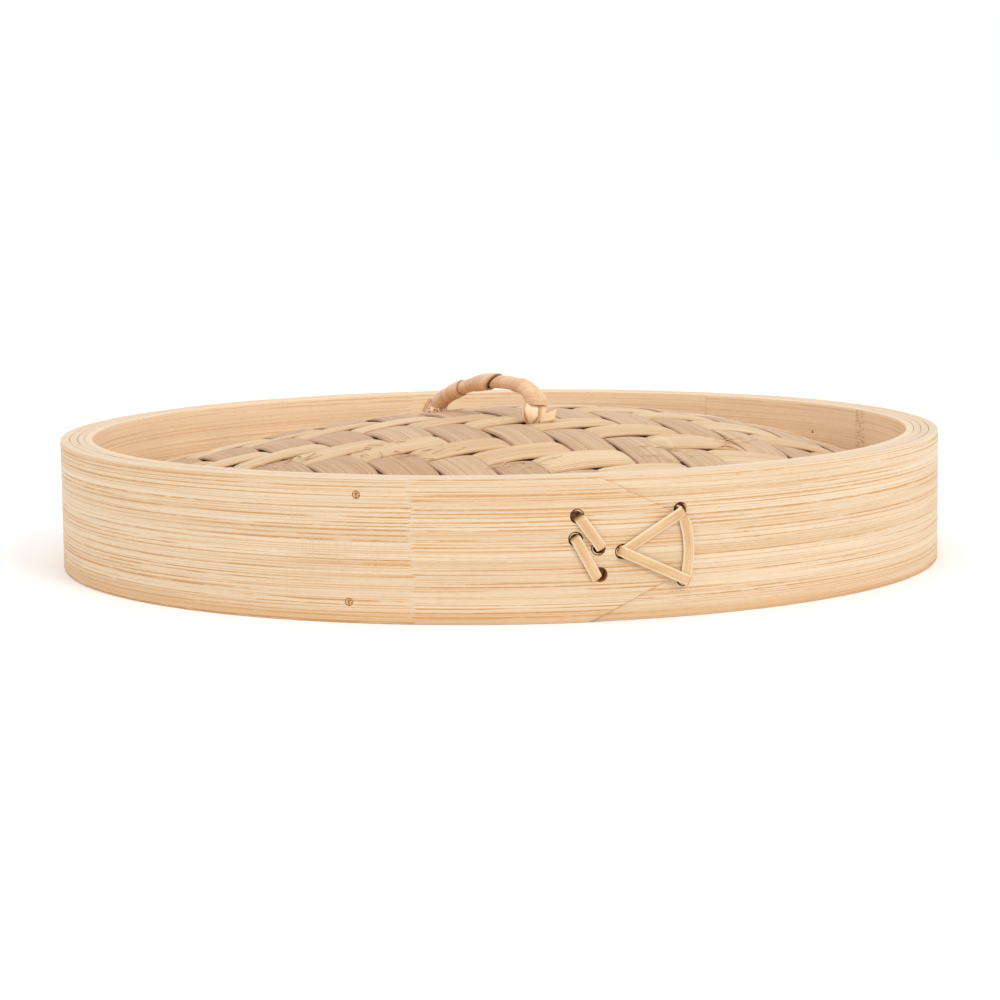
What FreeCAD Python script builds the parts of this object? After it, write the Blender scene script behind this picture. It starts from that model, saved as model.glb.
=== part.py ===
import FreeCAD, Part
import math
import os
import Sketcher

# Lid of a round bamboo steamer, in millimetres.
#
# The frame has its origin at the centre of the hoop's bottom rim and +Z up.  The laced lap of the
# hoop faces -Y.  Angles go counter-clockwise seen from above, from +X, so the front is at 270.
#
# From the outside in, the hoop is a lapped outer band, a second band, and two pairs of shorter
# rings (packing and face) that clamp the edge of the domed, woven cover between them.  Below the
# lower rings the two bands alone form a socket, pared a little wider, which drops over the raised
# lip of a basket.

# Each row is a sheet cell: its alias, its value and what it drives.
DIMENSIONS = (
    ("hoop_radius", 127.0, "outer radius of the hoop"),
    ("hoop_height", 36.8, "height of the hoop"),
    ("outer_band_wall", 2.6, "thickness of the outer band"),
    ("second_band_wall", 2.2, "thickness of the second band"),
    ("packing_ring_wall", 2.0, "thickness of each packing ring"),
    ("face_ring_wall", 2.2, "thickness of each face ring"),
    ("layer_gap", 0.05, "gap between neighbouring layers of the hoop"),
    ("seam_angle", 0.3, "angle left open where a bent strip's ends meet"),
    ("second_band_seam", 40.0, "where the second band's ends meet"),
    ("upper_face_seam", 55.0, "where the upper face ring's ends meet"),
    ("lower_face_seam", 120.0, "where the lower face ring's ends meet"),
    ("lap_start", 216.0, "where the outer band's inner end begins"),
    ("lap_tip", 291.4, "where the tip of the outer band's tongue lies"),
    ("lap_flush", 345.0, "where the band is back at its full radius"),
    ("lap_edge", 0.6, "thickness of the tongue at its tip"),
    ("lap_feather", 0.5, "thickness of the inner end"),
    ("lap_slit", 0.06, "gap between the two turns of the lap"),
    ("tongue_root_high", 281.1, "where the tongue's upper chamfer meets the rim"),
    ("tongue_root_low", 280.0, "where the tongue's lower chamfer meets the rim"),
    ("tongue_tip_high", 24.2, "upper corner of the tongue's tip"),
    ("tongue_tip_low", 13.0, "lower corner of the tongue's tip"),
    ("lacing_hole_radius", 1.9, "radius of each hole for the cane lacing"),
    ("cane_width", 2.7, "width of the lacing cane"),
    ("cane_thickness", 0.85, "thickness of the lacing cane"),
    ("relief_angle", 24.0, "length of the packing rings' relief for the lacing"),
    ("relief_middle", 285.5, "middle of that relief"),
    ("peg_radius", 1.0, "radius of each bamboo peg"),
    ("peg_play", 0.04, "gap around a peg"),
    ("upper_peg_height", 32.7, "height of the upper pegs"),
    ("lower_peg_height", 5.4, "height of the lower pegs"),
    ("socket_depth", 8.0, "depth of the socket below the lower rings"),
    ("socket_paring", 0.6, "how far the second band's foot is pared back in the socket"),
    ("cover_edge_drop", 15.0, "the rim's height above the cover's edge"),
    ("cover_rise", 20.0, "rise of the domed cover above its edge"),
    ("cover_lean", 0.24, "how far the crown leans towards +X, as a share of the rise"),
    ("flange_width", 3.0, "width of the cover's edge between the rings"),
    ("cover_turn", 22.0, "direction of the light strips"),
    ("cover_pitch", 13.0, "spacing of the cover's strips"),
    ("cover_strip_width", 12.0, "width of a cover strip"),
    ("light_middle", 6.5, "offset of the light strip next to the centre"),
    ("dark_middle", 2.67, "offset of the dark strip next to the centre"),
    ("lining_turn", 67.0, "direction of the lining's first layer"),
    ("lining_pitch", 18.0, "spacing of the lining's strips"),
    ("lining_strip_width", 16.9, "width of a lining strip"),
    ("strip_thickness", 0.8, "thickness of every woven strip"),
    ("strip_lift", 0.95, "a strip's offset from the middle of its mat"),
    ("strip_ramp", 1.0, "half the length of a strip's step from over to under"),
    ("mat_gap", 0.2, "gap between the cover and its lining"),
    ("handle_middle_x", -3.3, "middle of the handle, along X"),
    ("handle_middle_y", -5.5, "middle of the handle, along Y"),
    ("handle_turn", -56.0, "direction from the handle's rear leg to its front leg"),
    ("handle_front", 23.7, "distance from the middle to the front leg"),
    ("handle_rear", 26.5, "distance from the middle to the rear leg"),
    ("handle_crown", 9.0, "distance from the middle to the arch's highest point"),
    ("handle_height", 51.2, "height of the arch's middle line at its highest point"),
    ("arch_radius", 80.0, "radius of the arch"),
    ("front_bend", 7.0, "radius of the bend over the front leg"),
    ("rear_bend", 4.0, "radius of the bend over the rear leg"),
    ("clinch_bend", 3.0, "radius of the bends under the lining"),
    ("clinch_length", 5.0, "straight length of each clinched end"),
    ("front_clinch_height", 32.4, "height of the front clinched end"),
    ("rear_clinch_height", 31.3, "height of the rear clinched end"),
    ("core_radius", 1.3, "radius of the handle's core"),
    ("wrap_radius", 2.1, "outer radius of the handle's wrapping"),
    ("front_binding_radius", 3.4, "outer radius of the binding on the front leg"),
    ("rear_binding_radius", 2.8, "outer radius of the binding on the rear leg"),
    ("sleeve_gap", 0.05, "gap between one handle layer and the next"),
    ("front_binding_base", 41.5, "height of the front binding's lower end"),
    ("binding_turn", 45.0, "how far each binding follows its bend"),
    ("leg_hole_radius", 1.75, "radius of the holes in the mats for the legs"),
    ("tail_length", 5.5, "length of the binding's loose tail"),
    ("tail_width", 3.6, "width of that tail"),
    ("tail_rise", 40.0, "how steeply that tail points up"),
    ("tail_height", 43.0, "height of the tail's root"),
)

# Where the lacing holes are: angle round the hoop, then height.
LACING_HOLES = {
    "a": (278.8, 27.6),
    "b": (278.6, 19.6),
    "c": (281.7, 18.0),
    "d": (281.3, 12.0),
    "e": (283.9, 17.6),
    "f": (291.1, 27.4),
    "g": (291.4, 9.7),
}
LAP_STITCHES = ("ac", "bd")
TONGUE_STITCHES = ("ef", "eg", "fg")
UPPER_PEG_ANGLES = (253.5, 33.0, 143.0)
LOWER_PEG_ANGLES = (252.4, 33.0, 143.0)

doc = FreeCAD.newDocument("steamer_lid")
sheet = doc.addObject("Spreadsheet::Sheet", "Dimensions")
for row, (alias, value, meaning) in enumerate(DIMENSIONS, start=1):
    sheet.set(f"A{row}", meaning)
    sheet.set(f"B{row}", str(value))
    sheet.setAlias(f"B{row}", alias)
doc.recompute()

D = "Dimensions."
BAND_INNER = f"({D}hoop_radius - {D}outer_band_wall)"
SECOND_OUTER = f"({BAND_INNER} - {D}layer_gap)"
SECOND_INNER = f"({SECOND_OUTER} - {D}second_band_wall)"
SOCKET_RADIUS = f"({SECOND_INNER} + {D}socket_paring)"
PACKING_OUTER = f"({SECOND_INNER} - {D}layer_gap)"
PACKING_INNER = f"({PACKING_OUTER} - {D}packing_ring_wall)"
FACE_OUTER = f"({PACKING_INNER} - {D}layer_gap)"
FACE_INNER = f"({FACE_OUTER} - {D}face_ring_wall)"
MAT_DEPTH = f"(2 * {D}strip_lift + {D}strip_thickness)"
COVER_EDGE = f"({D}hoop_height - {D}cover_edge_drop)"
UPPER_RING_BASE = f"({COVER_EDGE} + {D}layer_gap)"
LOWER_RING_TOP = f"({COVER_EDGE} - 2 * {MAT_DEPTH} - {D}mat_gap - {D}layer_gap)"
CANE_INNER = f"({SECOND_INNER} - {D}layer_gap)"
CANE_OUTER = f"({D}hoop_radius + {D}layer_gap)"


def value_of(expression):
    """The number an expression in the sheet's cells comes to."""
    return float(sheet.evalExpression(expression))


def size(alias):
    """The number in one of the sheet's cells."""
    return value_of(D + alias)


def polar(radius, angle):
    """The point at a radius and an angle in degrees, on the XY plane."""
    turn = math.radians(angle)
    return FreeCAD.Vector(radius * math.cos(turn), radius * math.sin(turn), 0)


# ---- building blocks -----------------------------------------------------------------------------

def new_body(name):
    body = doc.addObject("PartDesign::Body", name)
    body.Label = name
    return body


def new_sketch(body, name, plane_role):
    """A sketch on one of a body's own origin planes."""
    sketch = body.newObject("Sketcher::SketchObject", name)
    planes = [feature for feature in body.Origin.OriginFeatures if feature.Role == plane_role]
    sketch.AttachmentSupport = [(planes[0], "")]
    sketch.MapMode = "FlatFace"
    return sketch


def bind(sketch, kind, references, expression):
    """A dimension of a sketch that follows the sheet."""
    index = sketch.addConstraint(Sketcher.Constraint(kind, *references, value_of(expression)))
    sketch.setExpression(f"Constraints[{index}]", expression)


def join(sketch, here, following):
    """Ties the two ends at which neighbouring edges meet."""
    pairs = [(end, start) for end in (1, 2) for start in (1, 2)]
    distances = [sketch.getPoint(here, end).distanceToPoint(sketch.getPoint(following, start))
                 for end, start in pairs]
    end, start = pairs[distances.index(min(distances))]
    sketch.addConstraint(Sketcher.Constraint("Coincident", here, end, following, start))


def close_outline(sketch, first, count):
    """Joins the ends of neighbouring edges of a closed outline."""
    for step in range(count):
        join(sketch, first + step, first + (step + 1) % count)


def rectangle(sketch, left, right, bottom, top):
    """A rectangle whose four sides follow expressions, all measured from the sketch's origin."""
    x_low, x_high, y_low, y_high = (value_of(side) for side in (left, right, bottom, top))
    corners = [(x_low, y_low), (x_high, y_low), (x_high, y_high), (x_low, y_high)]
    first = sketch.GeometryCount
    for index, corner in enumerate(corners):
        following = corners[(index + 1) % 4]
        sketch.addGeometry(Part.LineSegment(FreeCAD.Vector(*corner, 0), FreeCAD.Vector(*following, 0)))
    close_outline(sketch, first, 4)
    for side in (first, first + 2):
        sketch.addConstraint(Sketcher.Constraint("Horizontal", side))
    for side in (first + 1, first + 3):
        sketch.addConstraint(Sketcher.Constraint("Vertical", side))
    bind(sketch, "DistanceX", (-1, 1, first, 1), left)
    bind(sketch, "DistanceX", (-1, 1, first + 2, 1), right)
    bind(sketch, "DistanceY", (-1, 1, first, 1), bottom)
    bind(sketch, "DistanceY", (-1, 1, first + 2, 1), top)


def pad(body, sketch, length, midplane=False):
    feature = body.newObject("PartDesign::Pad", f"{body.Name}_pad")
    feature.Profile = sketch
    feature.Midplane = midplane
    feature.setExpression("Length", length)
    return feature


def radial_cylinder(name, radius, angle, height, start, length):
    """A cylinder lying along a radius of the hoop, from a start radius outwards."""
    cylinder = doc.addObject("Part::Cylinder", name)
    cylinder.setExpression("Radius", radius)
    cylinder.setExpression("Height", length)
    place = f"vector(({start}) * cos({angle}); ({start}) * sin({angle}); {height})"
    cylinder.setExpression("Placement", f"placement({place}; rotation({angle}; 90; 0))")
    return cylinder


def gather(name, members):
    compound = doc.addObject("Part::Compound", name)
    compound.Links = members
    return compound


def cut(name, base, tool):
    result = doc.addObject("Part::Cut", name)
    result.Base = base
    result.Tool = tool
    return result


def pin_holes(name, angles, height):
    """Holes for pegs, drilled from the middle of the hoop right through its wall."""
    radius = f"{D}peg_radius + {D}peg_play"
    holes = []
    for number, angle in enumerate(angles, start=1):
        holes.append(radial_cylinder(f"{name}_{number}", radius, angle, height, "0", f"2 * {D}hoop_radius"))
    return gather(name, holes)


# ---- the hoop ------------------------------------------------------------------------------------

def bent_strip(name, inner, outer, bottom, top, seam):
    """A strip bent into a ring, with a fine gap at its seam."""
    body = new_body(name)
    section = new_sketch(body, f"{name}_section", "XZ_Plane")
    rectangle(section, inner, outer, bottom, top)
    ring = body.newObject("PartDesign::Revolution", f"{name}_ring")
    ring.Profile = section
    ring.ReferenceAxis = (section, ["V_Axis"])
    ring.Midplane = True
    ring.setExpression("Angle", f"360 - {D}seam_angle")
    body.setExpression("Placement.Rotation.Angle", f"{seam} - 180")
    return body


def groove(body, name, inner, outer, bottom, top, angle):
    """Thins a bent strip over an angle opposite its seam."""
    section = new_sketch(body, f"{name}_section", "XZ_Plane")
    rectangle(section, inner, outer, bottom, top)
    relief = body.newObject("PartDesign::Groove", name)
    relief.Profile = section
    relief.ReferenceAxis = (section, ["V_Axis"])
    relief.Midplane = True
    relief.setExpression("Angle", angle)
    return body


def packing_ring(name, bottom, top):
    """A packing ring, thinned behind the lacing."""
    body = bent_strip(name, PACKING_INNER, PACKING_OUTER, bottom, top, f"{D}relief_middle + 180")
    floor = f"({CANE_INNER} - {D}cane_thickness - {D}layer_gap)"
    return groove(body, f"{name}_relief", floor, BAND_INNER, "0", f"{D}hoop_height + 1",
                  f"{D}relief_angle")


def lap_radius(angle):
    """The radius of the slit between the two turns of the outer band's lap."""
    start = value_of(BAND_INNER) + size("lap_feather")
    tip = size("hoop_radius") - size("lap_edge")
    share = (angle - size("lap_start")) / (size("lap_tip") - size("lap_start"))
    return start + share * (tip - start) - size("lap_slit") / 2


def spiral(first_angle, last_angle, offset):
    """An arc along the lap's slit, moved outwards by an offset."""
    angles = (first_angle, (first_angle + last_angle) / 2, last_angle)
    return Part.Arc(*(polar(lap_radius(angle) + offset, angle) for angle in angles))


def circle_arc(radius, first_angle, last_angle):
    """An arc about the hoop's axis."""
    middle = (first_angle + last_angle) / 2
    return Part.Arc(*(polar(radius, angle) for angle in (first_angle, middle, last_angle)))


def band_blank():
    """One strip that laps over itself: its plan, raised to the hoop's height."""
    body = new_body("outer_band_blank")
    plan = new_sketch(body, "outer_band_plan", "XY_Plane")
    outer = size("hoop_radius")
    inner = value_of(BAND_INNER)
    half_slit = size("lap_slit") / 2
    start = size("lap_start")
    tip = size("lap_tip")
    flush = size("lap_flush")
    step = start - math.degrees(2 * half_slit / inner)
    tongue_under = polar(lap_radius(tip) + half_slit, tip)
    tongue_step = polar(lap_radius(step) + half_slit, step)
    end_top = polar(lap_radius(start) - half_slit, start)
    turn_under = polar(lap_radius(tip) - half_slit, tip)
    ramp_middle = polar((turn_under.Length + outer) / 2, (tip + flush) / 2)
    outline = [
        circle_arc(outer, flush - 360, tip),
        Part.LineSegment(polar(outer, tip), tongue_under),
        spiral(tip, step, half_slit),
        Part.LineSegment(tongue_step, polar(inner, step)),
        circle_arc(inner, step, start - 360),
        Part.LineSegment(polar(inner, start), end_top),
        spiral(start, tip, -half_slit),
        Part.Arc(turn_under, ramp_middle, polar(outer, flush)),
    ]
    for edge in outline:
        plan.addGeometry(edge)
    close_outline(plan, 0, len(outline))
    for index in (0, 4):
        plan.addConstraint(Sketcher.Constraint("Coincident", index, 3, -1, 1))
    bind(plan, "Radius", (0,), f"{D}hoop_radius")
    bind(plan, "Radius", (4,), BAND_INNER)
    pad(body, plan, f"{D}hoop_height")
    return body


def tongue_layer():
    """The part of the lap that lies over the slit, a little proud of the hoop."""
    body = new_body("tongue_layer")
    plan = new_sketch(body, "tongue_layer_plan", "XY_Plane")
    proud = size("hoop_radius") + 1
    first = size("tongue_root_low") - 3
    last = size("lap_tip")
    outline = [
        spiral(first, last, 0),
        Part.LineSegment(polar(lap_radius(last), last), polar(proud, last)),
        circle_arc(proud, last, first),
        Part.LineSegment(polar(proud, first), polar(lap_radius(first), first)),
    ]
    for edge in outline:
        plan.addGeometry(edge)
    close_outline(plan, 0, len(outline))
    pad(body, plan, f"{D}hoop_height")
    return body


def tongue_corners():
    """The two corners that are cut away to leave the tongue, as seen from the front."""
    body = new_body("tongue_corners")
    face = new_sketch(body, "tongue_corner_outlines", "XZ_Plane")
    radius = size("hoop_radius")
    height = size("hoop_height")
    tip_x = polar(radius, size("lap_tip")).x
    spare = 3.0
    corners = (
        (polar(radius, size("tongue_root_high")).x, height, size("tongue_tip_high"), height + spare),
        (polar(radius, size("tongue_root_low")).x, 0.0, size("tongue_tip_low"), -spare),
    )
    for root_x, root_z, tip_z, far_z in corners:
        slope = (tip_z - root_z) / (tip_x - root_x)
        points = [
            (root_x + (far_z - root_z) / slope, far_z),
            (tip_x + spare, tip_z + spare * slope),
            (tip_x + spare, far_z),
        ]
        for index, point in enumerate(points):
            following = points[(index + 1) % 3]
            face.addGeometry(Part.LineSegment(FreeCAD.Vector(*point, 0), FreeCAD.Vector(*following, 0)))
        close_outline(face, face.GeometryCount - 3, 3)
    pad(body, face, f"{D}hoop_radius + 5")
    return body


def lacing_holes():
    holes = []
    for letter, (angle, height) in LACING_HOLES.items():
        name = f"lacing_hole_{letter}"
        length = f"2 * {D}hoop_radius"
        holes.append(radial_cylinder(name, f"{D}lacing_hole_radius", angle, height, "0", length))
    return gather("lacing_holes", holes)


def hoop(upper_holes, lower_holes):
    """The two bands and the four rings."""
    corners = doc.addObject("Part::Common", "tongue_offcuts")
    corners.Base = tongue_layer()
    corners.Tool = tongue_corners()
    shaped = cut("outer_band_shaped", band_blank(), corners)
    band_holes = gather("band_holes", [lacing_holes(), upper_holes, lower_holes])
    outer = cut("outer_band", shaped, band_holes)
    blank = bent_strip("second_band_blank", SECOND_INNER, SECOND_OUTER, "0", f"{D}hoop_height",
                       f"{D}second_band_seam")
    groove(blank, "second_band_paring", PACKING_INNER, SOCKET_RADIUS, "-1", f"{D}socket_depth", "360")
    second = cut("second_band", blank, band_holes)
    upper_packing_blank = packing_ring("upper_packing_blank", UPPER_RING_BASE, f"{D}hoop_height")
    upper_packing = cut("upper_packing_ring", upper_packing_blank, upper_holes)
    upper_face_blank = bent_strip("upper_face_blank", FACE_INNER, FACE_OUTER, UPPER_RING_BASE,
                                  f"{D}hoop_height", f"{D}upper_face_seam")
    upper_face = cut("upper_face_ring", upper_face_blank, upper_holes)
    lower_packing = packing_ring("lower_packing_ring", f"{D}socket_depth", LOWER_RING_TOP)
    lower_face = bent_strip("lower_face_ring", FACE_INNER, FACE_OUTER, f"{D}socket_depth",
                            LOWER_RING_TOP, f"{D}lower_face_seam")
    return [outer, second, upper_packing, upper_face, lower_packing, lower_face]


# ---- lacing and pegs -----------------------------------------------------------------------------

def stitch(pair):
    """A loop of flat cane through two holes and round both bands."""
    angles, heights = zip(*(LACING_HOLES[letter] for letter in pair))
    middle_angle = sum(angles) / 2
    middle_height = sum(heights) / 2
    radius = size("hoop_radius")
    run = radius * math.radians(angles[1] - angles[0])
    climb = heights[1] - heights[0]
    length = math.hypot(run, climb)
    body = new_body(f"stitch_{pair}")
    outline = new_sketch(body, f"stitch_{pair}_outline", "XY_Plane")
    half = length / 2
    thickness = f"{D}cane_thickness"
    rectangle(outline, f"-{half} - {thickness} / 2", f"{half} + {thickness} / 2",
              f"{CANE_INNER} - {thickness}", f"{CANE_OUTER} + {thickness}")
    rectangle(outline, f"-{half} + {thickness} / 2", f"{half} - {thickness} / 2",
              CANE_INNER, CANE_OUTER)
    pad(body, outline, f"{D}cane_width", midplane=True)
    outward = polar(1, middle_angle)
    sideways = polar(1, middle_angle + 90)
    along = (sideways * run + FreeCAD.Vector(0, 0, climb)) / length
    rotation = FreeCAD.Rotation(along, outward, along.cross(outward), "XYZ")
    body.Placement = FreeCAD.Placement(FreeCAD.Vector(0, 0, middle_height), rotation)
    return body


def lacing():
    lap = gather("lap_lacing", [stitch(pair) for pair in LAP_STITCHES])
    tongue = doc.addObject("Part::MultiFuse", "tongue_lacing")
    tongue.Shapes = [stitch(pair) for pair in TONGUE_STITCHES]
    return [lap, tongue]


def peg_group(name, angles, height, start):
    pegs = []
    for number, angle in enumerate(angles, start=1):
        length = f"{D}hoop_radius - {start}"
        pegs.append(radial_cylinder(f"{name}_{number}", f"{D}peg_radius", angle, height, start, length))
    return gather(name, pegs)


# ---- the woven cover and its lining --------------------------------------------------------------

def cover_height(x, y):
    """The height of the domed cover's upper surface, level beyond the clamped edge."""
    edge = value_of(FACE_INNER)
    reach = min(1.0, (x * x + y * y) / edge ** 2)
    return value_of(COVER_EDGE) + size("cover_rise") * (1 - reach) * (1 + size("cover_lean") * x / edge)


def strip_stations(crossings, pitch):
    """Distances along a strip with the side it is on there: +1 over its crossing strips, -1 under."""
    ramp = size("strip_ramp")
    stations = []
    for index, (middle, side) in enumerate(crossings):
        if index and crossings[index - 1][1] != side:
            boundary = middle - pitch / 2
            stations.append((boundary - ramp, -side))
            stations.append((boundary + ramp, side))
        stations.append((middle, side))
    return stations


def clamped_space():
    """The space open to the mats: inside the face rings, and the slot between the ring pairs."""
    edge = value_of(FACE_INNER)
    well = Part.makeCylinder(edge, 2 * size("hoop_height"))
    slot_base = value_of(LOWER_RING_TOP) + size("layer_gap") / 2
    slot_top = value_of(UPPER_RING_BASE) - size("layer_gap") / 2
    slot = Part.makeCylinder(edge + size("flange_width"), slot_top - slot_base, FreeCAD.Vector(0, 0, slot_base))
    return well.fuse(slot)


def woven_strip(name, turn, offset, width, pitch, crossings, drop, space, legs):
    """A strip of a domed twill mat: a ruled loft through its cross-sections, trimmed to the rings.

    turn is the strip's direction, offset its distance from the centre, and drop the depth of its
    mat's middle below the cover's upper surface.  legs are the places of the handle's legs.
    """
    edge = value_of(FACE_INNER)
    flange = edge + size("flange_width")
    near = max(offset - width / 2, -flange + 1.5)
    far = min(offset + width / 2, flange - 1.5)
    closest = 0.0 if near < 0 < far else min(abs(near), abs(far))
    reach = math.sqrt(flange ** 2 - closest ** 2) + 1
    level = math.sqrt(edge ** 2 - closest ** 2)
    stations = [station for station in strip_stations(crossings, pitch) if abs(station[0]) < level]
    first_side, last_side = stations[0][1], stations[-1][1]
    stations = [(-reach, first_side), (-level, first_side)] + stations
    stations += [(level, last_side), (reach, last_side)]
    half_thickness = size("strip_thickness") / 2
    sections = []
    for along, side in stations:
        corners = []
        for across, face in ((near, -1), (far, -1), (far, 1), (near, 1)):
            point = polar(along, turn) + polar(across, turn + 90)
            middle = cover_height(point.x, point.y) - drop + side * size("strip_lift")
            point.z = middle + face * half_thickness
            corners.append(point)
        sections.append(Part.makePolygon(corners + corners[:1]))
    shape = Part.makeLoft(sections, True, True).common(space)
    hole_radius = size("leg_hole_radius")
    for leg in legs:
        if abs(leg.dot(polar(1, turn + 90)) - offset) < width / 2 + hole_radius:
            shape = shape.cut(Part.makeCylinder(hole_radius, 2 * size("hoop_height"), leg))
    feature = doc.addObject("Part::Feature", name)
    feature.Label = name
    feature.Shape = shape
    return feature


def strip_offsets(pitch, first):
    """The offsets of every strip that fits inside the hoop, with its whole-number place."""
    reach = value_of(FACE_INNER) + size("flange_width") - 5
    count = int(reach / pitch) + 2
    places = range(-count, count + 1)
    return [(place, first + place * pitch) for place in places
            if abs(first + place * pitch) - pitch / 2 < reach]


def second_on_top(first_place, second_place):
    """A two-over, two-under twill."""
    return (first_place + second_place) % 4 in (0, 3)


def twill_mat(turn, pitch, width, first_start, second_start, drop):
    """Both sets of strips of a mat, as two lists of woven_strip's arguments."""
    firsts = strip_offsets(pitch, first_start)
    seconds = strip_offsets(pitch, second_start)
    first_set = []
    for place, offset in firsts:
        crossings = [(distance, -1 if second_on_top(place, other) else 1) for other, distance in seconds]
        first_set.append((turn, offset, width, pitch, crossings, drop))
    second_set = []
    for place, offset in seconds:
        crossings = [(distance, 1 if second_on_top(other, place) else -1) for other, distance in firsts]
        second_set.append((turn + 90, -offset, width, pitch, crossings, drop))
    return first_set, second_set


def leg_places():
    """Where the handle's front and rear legs stand, on the XY plane."""
    middle = FreeCAD.Vector(size("handle_middle_x"), size("handle_middle_y"), 0)
    distances = (size("handle_front"), -size("handle_rear"))
    return [middle + polar(distance, size("handle_turn")) for distance in distances]


def woven_cover(space, legs):
    light, dark = twill_mat(size("cover_turn"), size("cover_pitch"), size("cover_strip_width"),
                            size("light_middle"), size("dark_middle"), value_of(MAT_DEPTH) / 2)
    strips = []
    for shade, members in (("light", light), ("dark", dark)):
        for number, arguments in enumerate(members, start=1):
            strips.append(woven_strip(f"cover_{shade}_strip_{number:02d}", *arguments, space, legs))
    return strips


def woven_lining(space, legs):
    """The coarser mat under the cover, each set of its strips in one node."""
    pitch = size("lining_pitch")
    drop = 1.5 * value_of(MAT_DEPTH) + size("mat_gap")
    sets = twill_mat(size("lining_turn"), pitch, size("lining_strip_width"), 0.0, 0.0, drop)
    groups = []
    for name, members in zip(("lining_long_strips", "lining_cross_strips"), sets):
        strips = [woven_strip(f"{name}_{number:02d}", *arguments, space, legs)
                  for number, arguments in enumerate(members, start=1)]
        groups.append(gather(name, strips))
    return groups


# ---- the handle ----------------------------------------------------------------------------------

def circle_top(center_x, center_y, radius, degrees):
    """A point on a circle in the handle's plane, at an angle from its right-hand side."""
    return FreeCAD.Vector(center_x, center_y, 0) + polar(radius, degrees)


def handle_route():
    """The handle's middle line in its own upright plane, as named tangent pieces, front to rear."""
    front, rear = size("handle_front"), -size("handle_rear")
    arch, front_bend, rear_bend = size("arch_radius"), size("front_bend"), size("rear_bend")
    crown, top = size("handle_crown"), size("handle_height")
    clinch, clinch_run = size("clinch_bend"), size("clinch_length")
    front_floor, rear_floor = size("front_clinch_height"), size("rear_clinch_height")
    arch_base = top - arch
    front_x, rear_x = front - front_bend, rear + rear_bend
    front_lean = math.degrees(math.acos((front_x - crown) / (arch - front_bend)))
    rear_lean = math.degrees(math.acos((rear_x - crown) / (arch - rear_bend)))
    front_y = arch_base + (arch - front_bend) * math.sin(math.radians(front_lean))
    rear_y = arch_base + (arch - rear_bend) * math.sin(math.radians(rear_lean))

    def bend(x, y, radius, first, last):
        return Part.Arc(*(circle_top(x, y, radius, angle) for angle in (first, (first + last) / 2, last)))

    def line(x_first, y_first, x_last, y_last):
        return Part.LineSegment(FreeCAD.Vector(x_first, y_first, 0), FreeCAD.Vector(x_last, y_last, 0))

    wrap_turn, binding = 0.0, size("binding_turn")
    front_base = size("front_binding_base")
    return {
        "front_clinch": line(front + clinch + clinch_run, front_floor, front + clinch, front_floor),
        "front_clinch_bend": bend(front + clinch, front_floor + clinch, clinch, 270, 180),
        "front_leg": line(front, front_floor + clinch, front, front_y),
        "front_stub": line(front, front_base, front, front_y),
        "front_bend": bend(front_x, front_y, front_bend, wrap_turn, front_lean),
        "front_part_bend": bend(front_x, front_y, front_bend, wrap_turn, binding),
        "arch": bend(crown, arch_base, arch, front_lean, rear_lean),
        "rear_bend": bend(rear_x, rear_y, rear_bend, rear_lean, 180),
        "rear_part_bend": bend(rear_x, rear_y, rear_bend, 180, 180 - binding),
        "rear_leg": line(rear, rear_y, rear, rear_floor + clinch),
        "rear_clinch_bend": bend(rear - clinch, rear_floor + clinch, clinch, 0, -90),
        "rear_clinch": line(rear - clinch, rear_floor, rear - clinch - clinch_run, rear_floor),
    }


def handle_tube(name, route, pieces, outer, inner=None):
    """A round cane, or a sleeve round it, along named pieces of the handle's route."""
    body = new_body(name)
    spine = new_sketch(body, f"{name}_spine", "XZ_Plane")
    for piece in pieces:
        spine.addGeometry(route[piece])
    for index in range(len(pieces) - 1):
        join(spine, index, index + 1)
    first = route[pieces[0]]
    start, end = (first.value(first.FirstParameter), first.value(first.LastParameter))
    upright = abs(end.x - start.x) < abs(end.y - start.y)
    section = new_sketch(body, f"{name}_section", "XY_Plane" if upright else "YZ_Plane")
    if upright:
        section.AttachmentOffset = FreeCAD.Placement(FreeCAD.Vector(0, 0, start.y), FreeCAD.Rotation())
        center = FreeCAD.Vector(start.x, 0, 0)
    else:
        section.AttachmentOffset = FreeCAD.Placement(FreeCAD.Vector(0, 0, start.x), FreeCAD.Rotation())
        center = FreeCAD.Vector(0, start.y, 0)
    for radius in filter(None, (outer, inner)):
        index = section.addGeometry(Part.Circle(center, FreeCAD.Vector(0, 0, 1), value_of(radius)))
        bind(section, "Radius", (index,), radius)
    doc.recompute()
    pipe = body.newObject("PartDesign::AdditivePipe", f"{name}_pipe")
    pipe.Profile = section
    pipe.Spine = (spine, [f"Edge{number}" for number in range(1, len(pieces) + 1)])
    place = f"vector({D}handle_middle_x; {D}handle_middle_y; 0)"
    body.setExpression("Placement", f"placement({place}; rotation({D}handle_turn; 0; 0))")
    return body


def loose_tail(binding_radius):
    """The binding's cut end, a flat strip that points up towards +X from the front leg."""
    body = new_body("binding_tail_blank")
    outline = new_sketch(body, "binding_tail_outline", "XZ_Plane")
    rectangle(outline, "0", f"{binding_radius} + {D}tail_length", f"-{D}tail_width / 2", f"{D}tail_width / 2")
    pad(body, outline, f"{D}cane_thickness", midplane=True)
    x = f"{D}handle_middle_x + {D}handle_front * cos({D}handle_turn)"
    y = f"{D}handle_middle_y + {D}handle_front * sin({D}handle_turn)"
    body.setExpression("Placement", f"placement(vector({x}; {y}; {D}tail_height); rotation(0; -{D}tail_rise; 0))")
    return body


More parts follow.
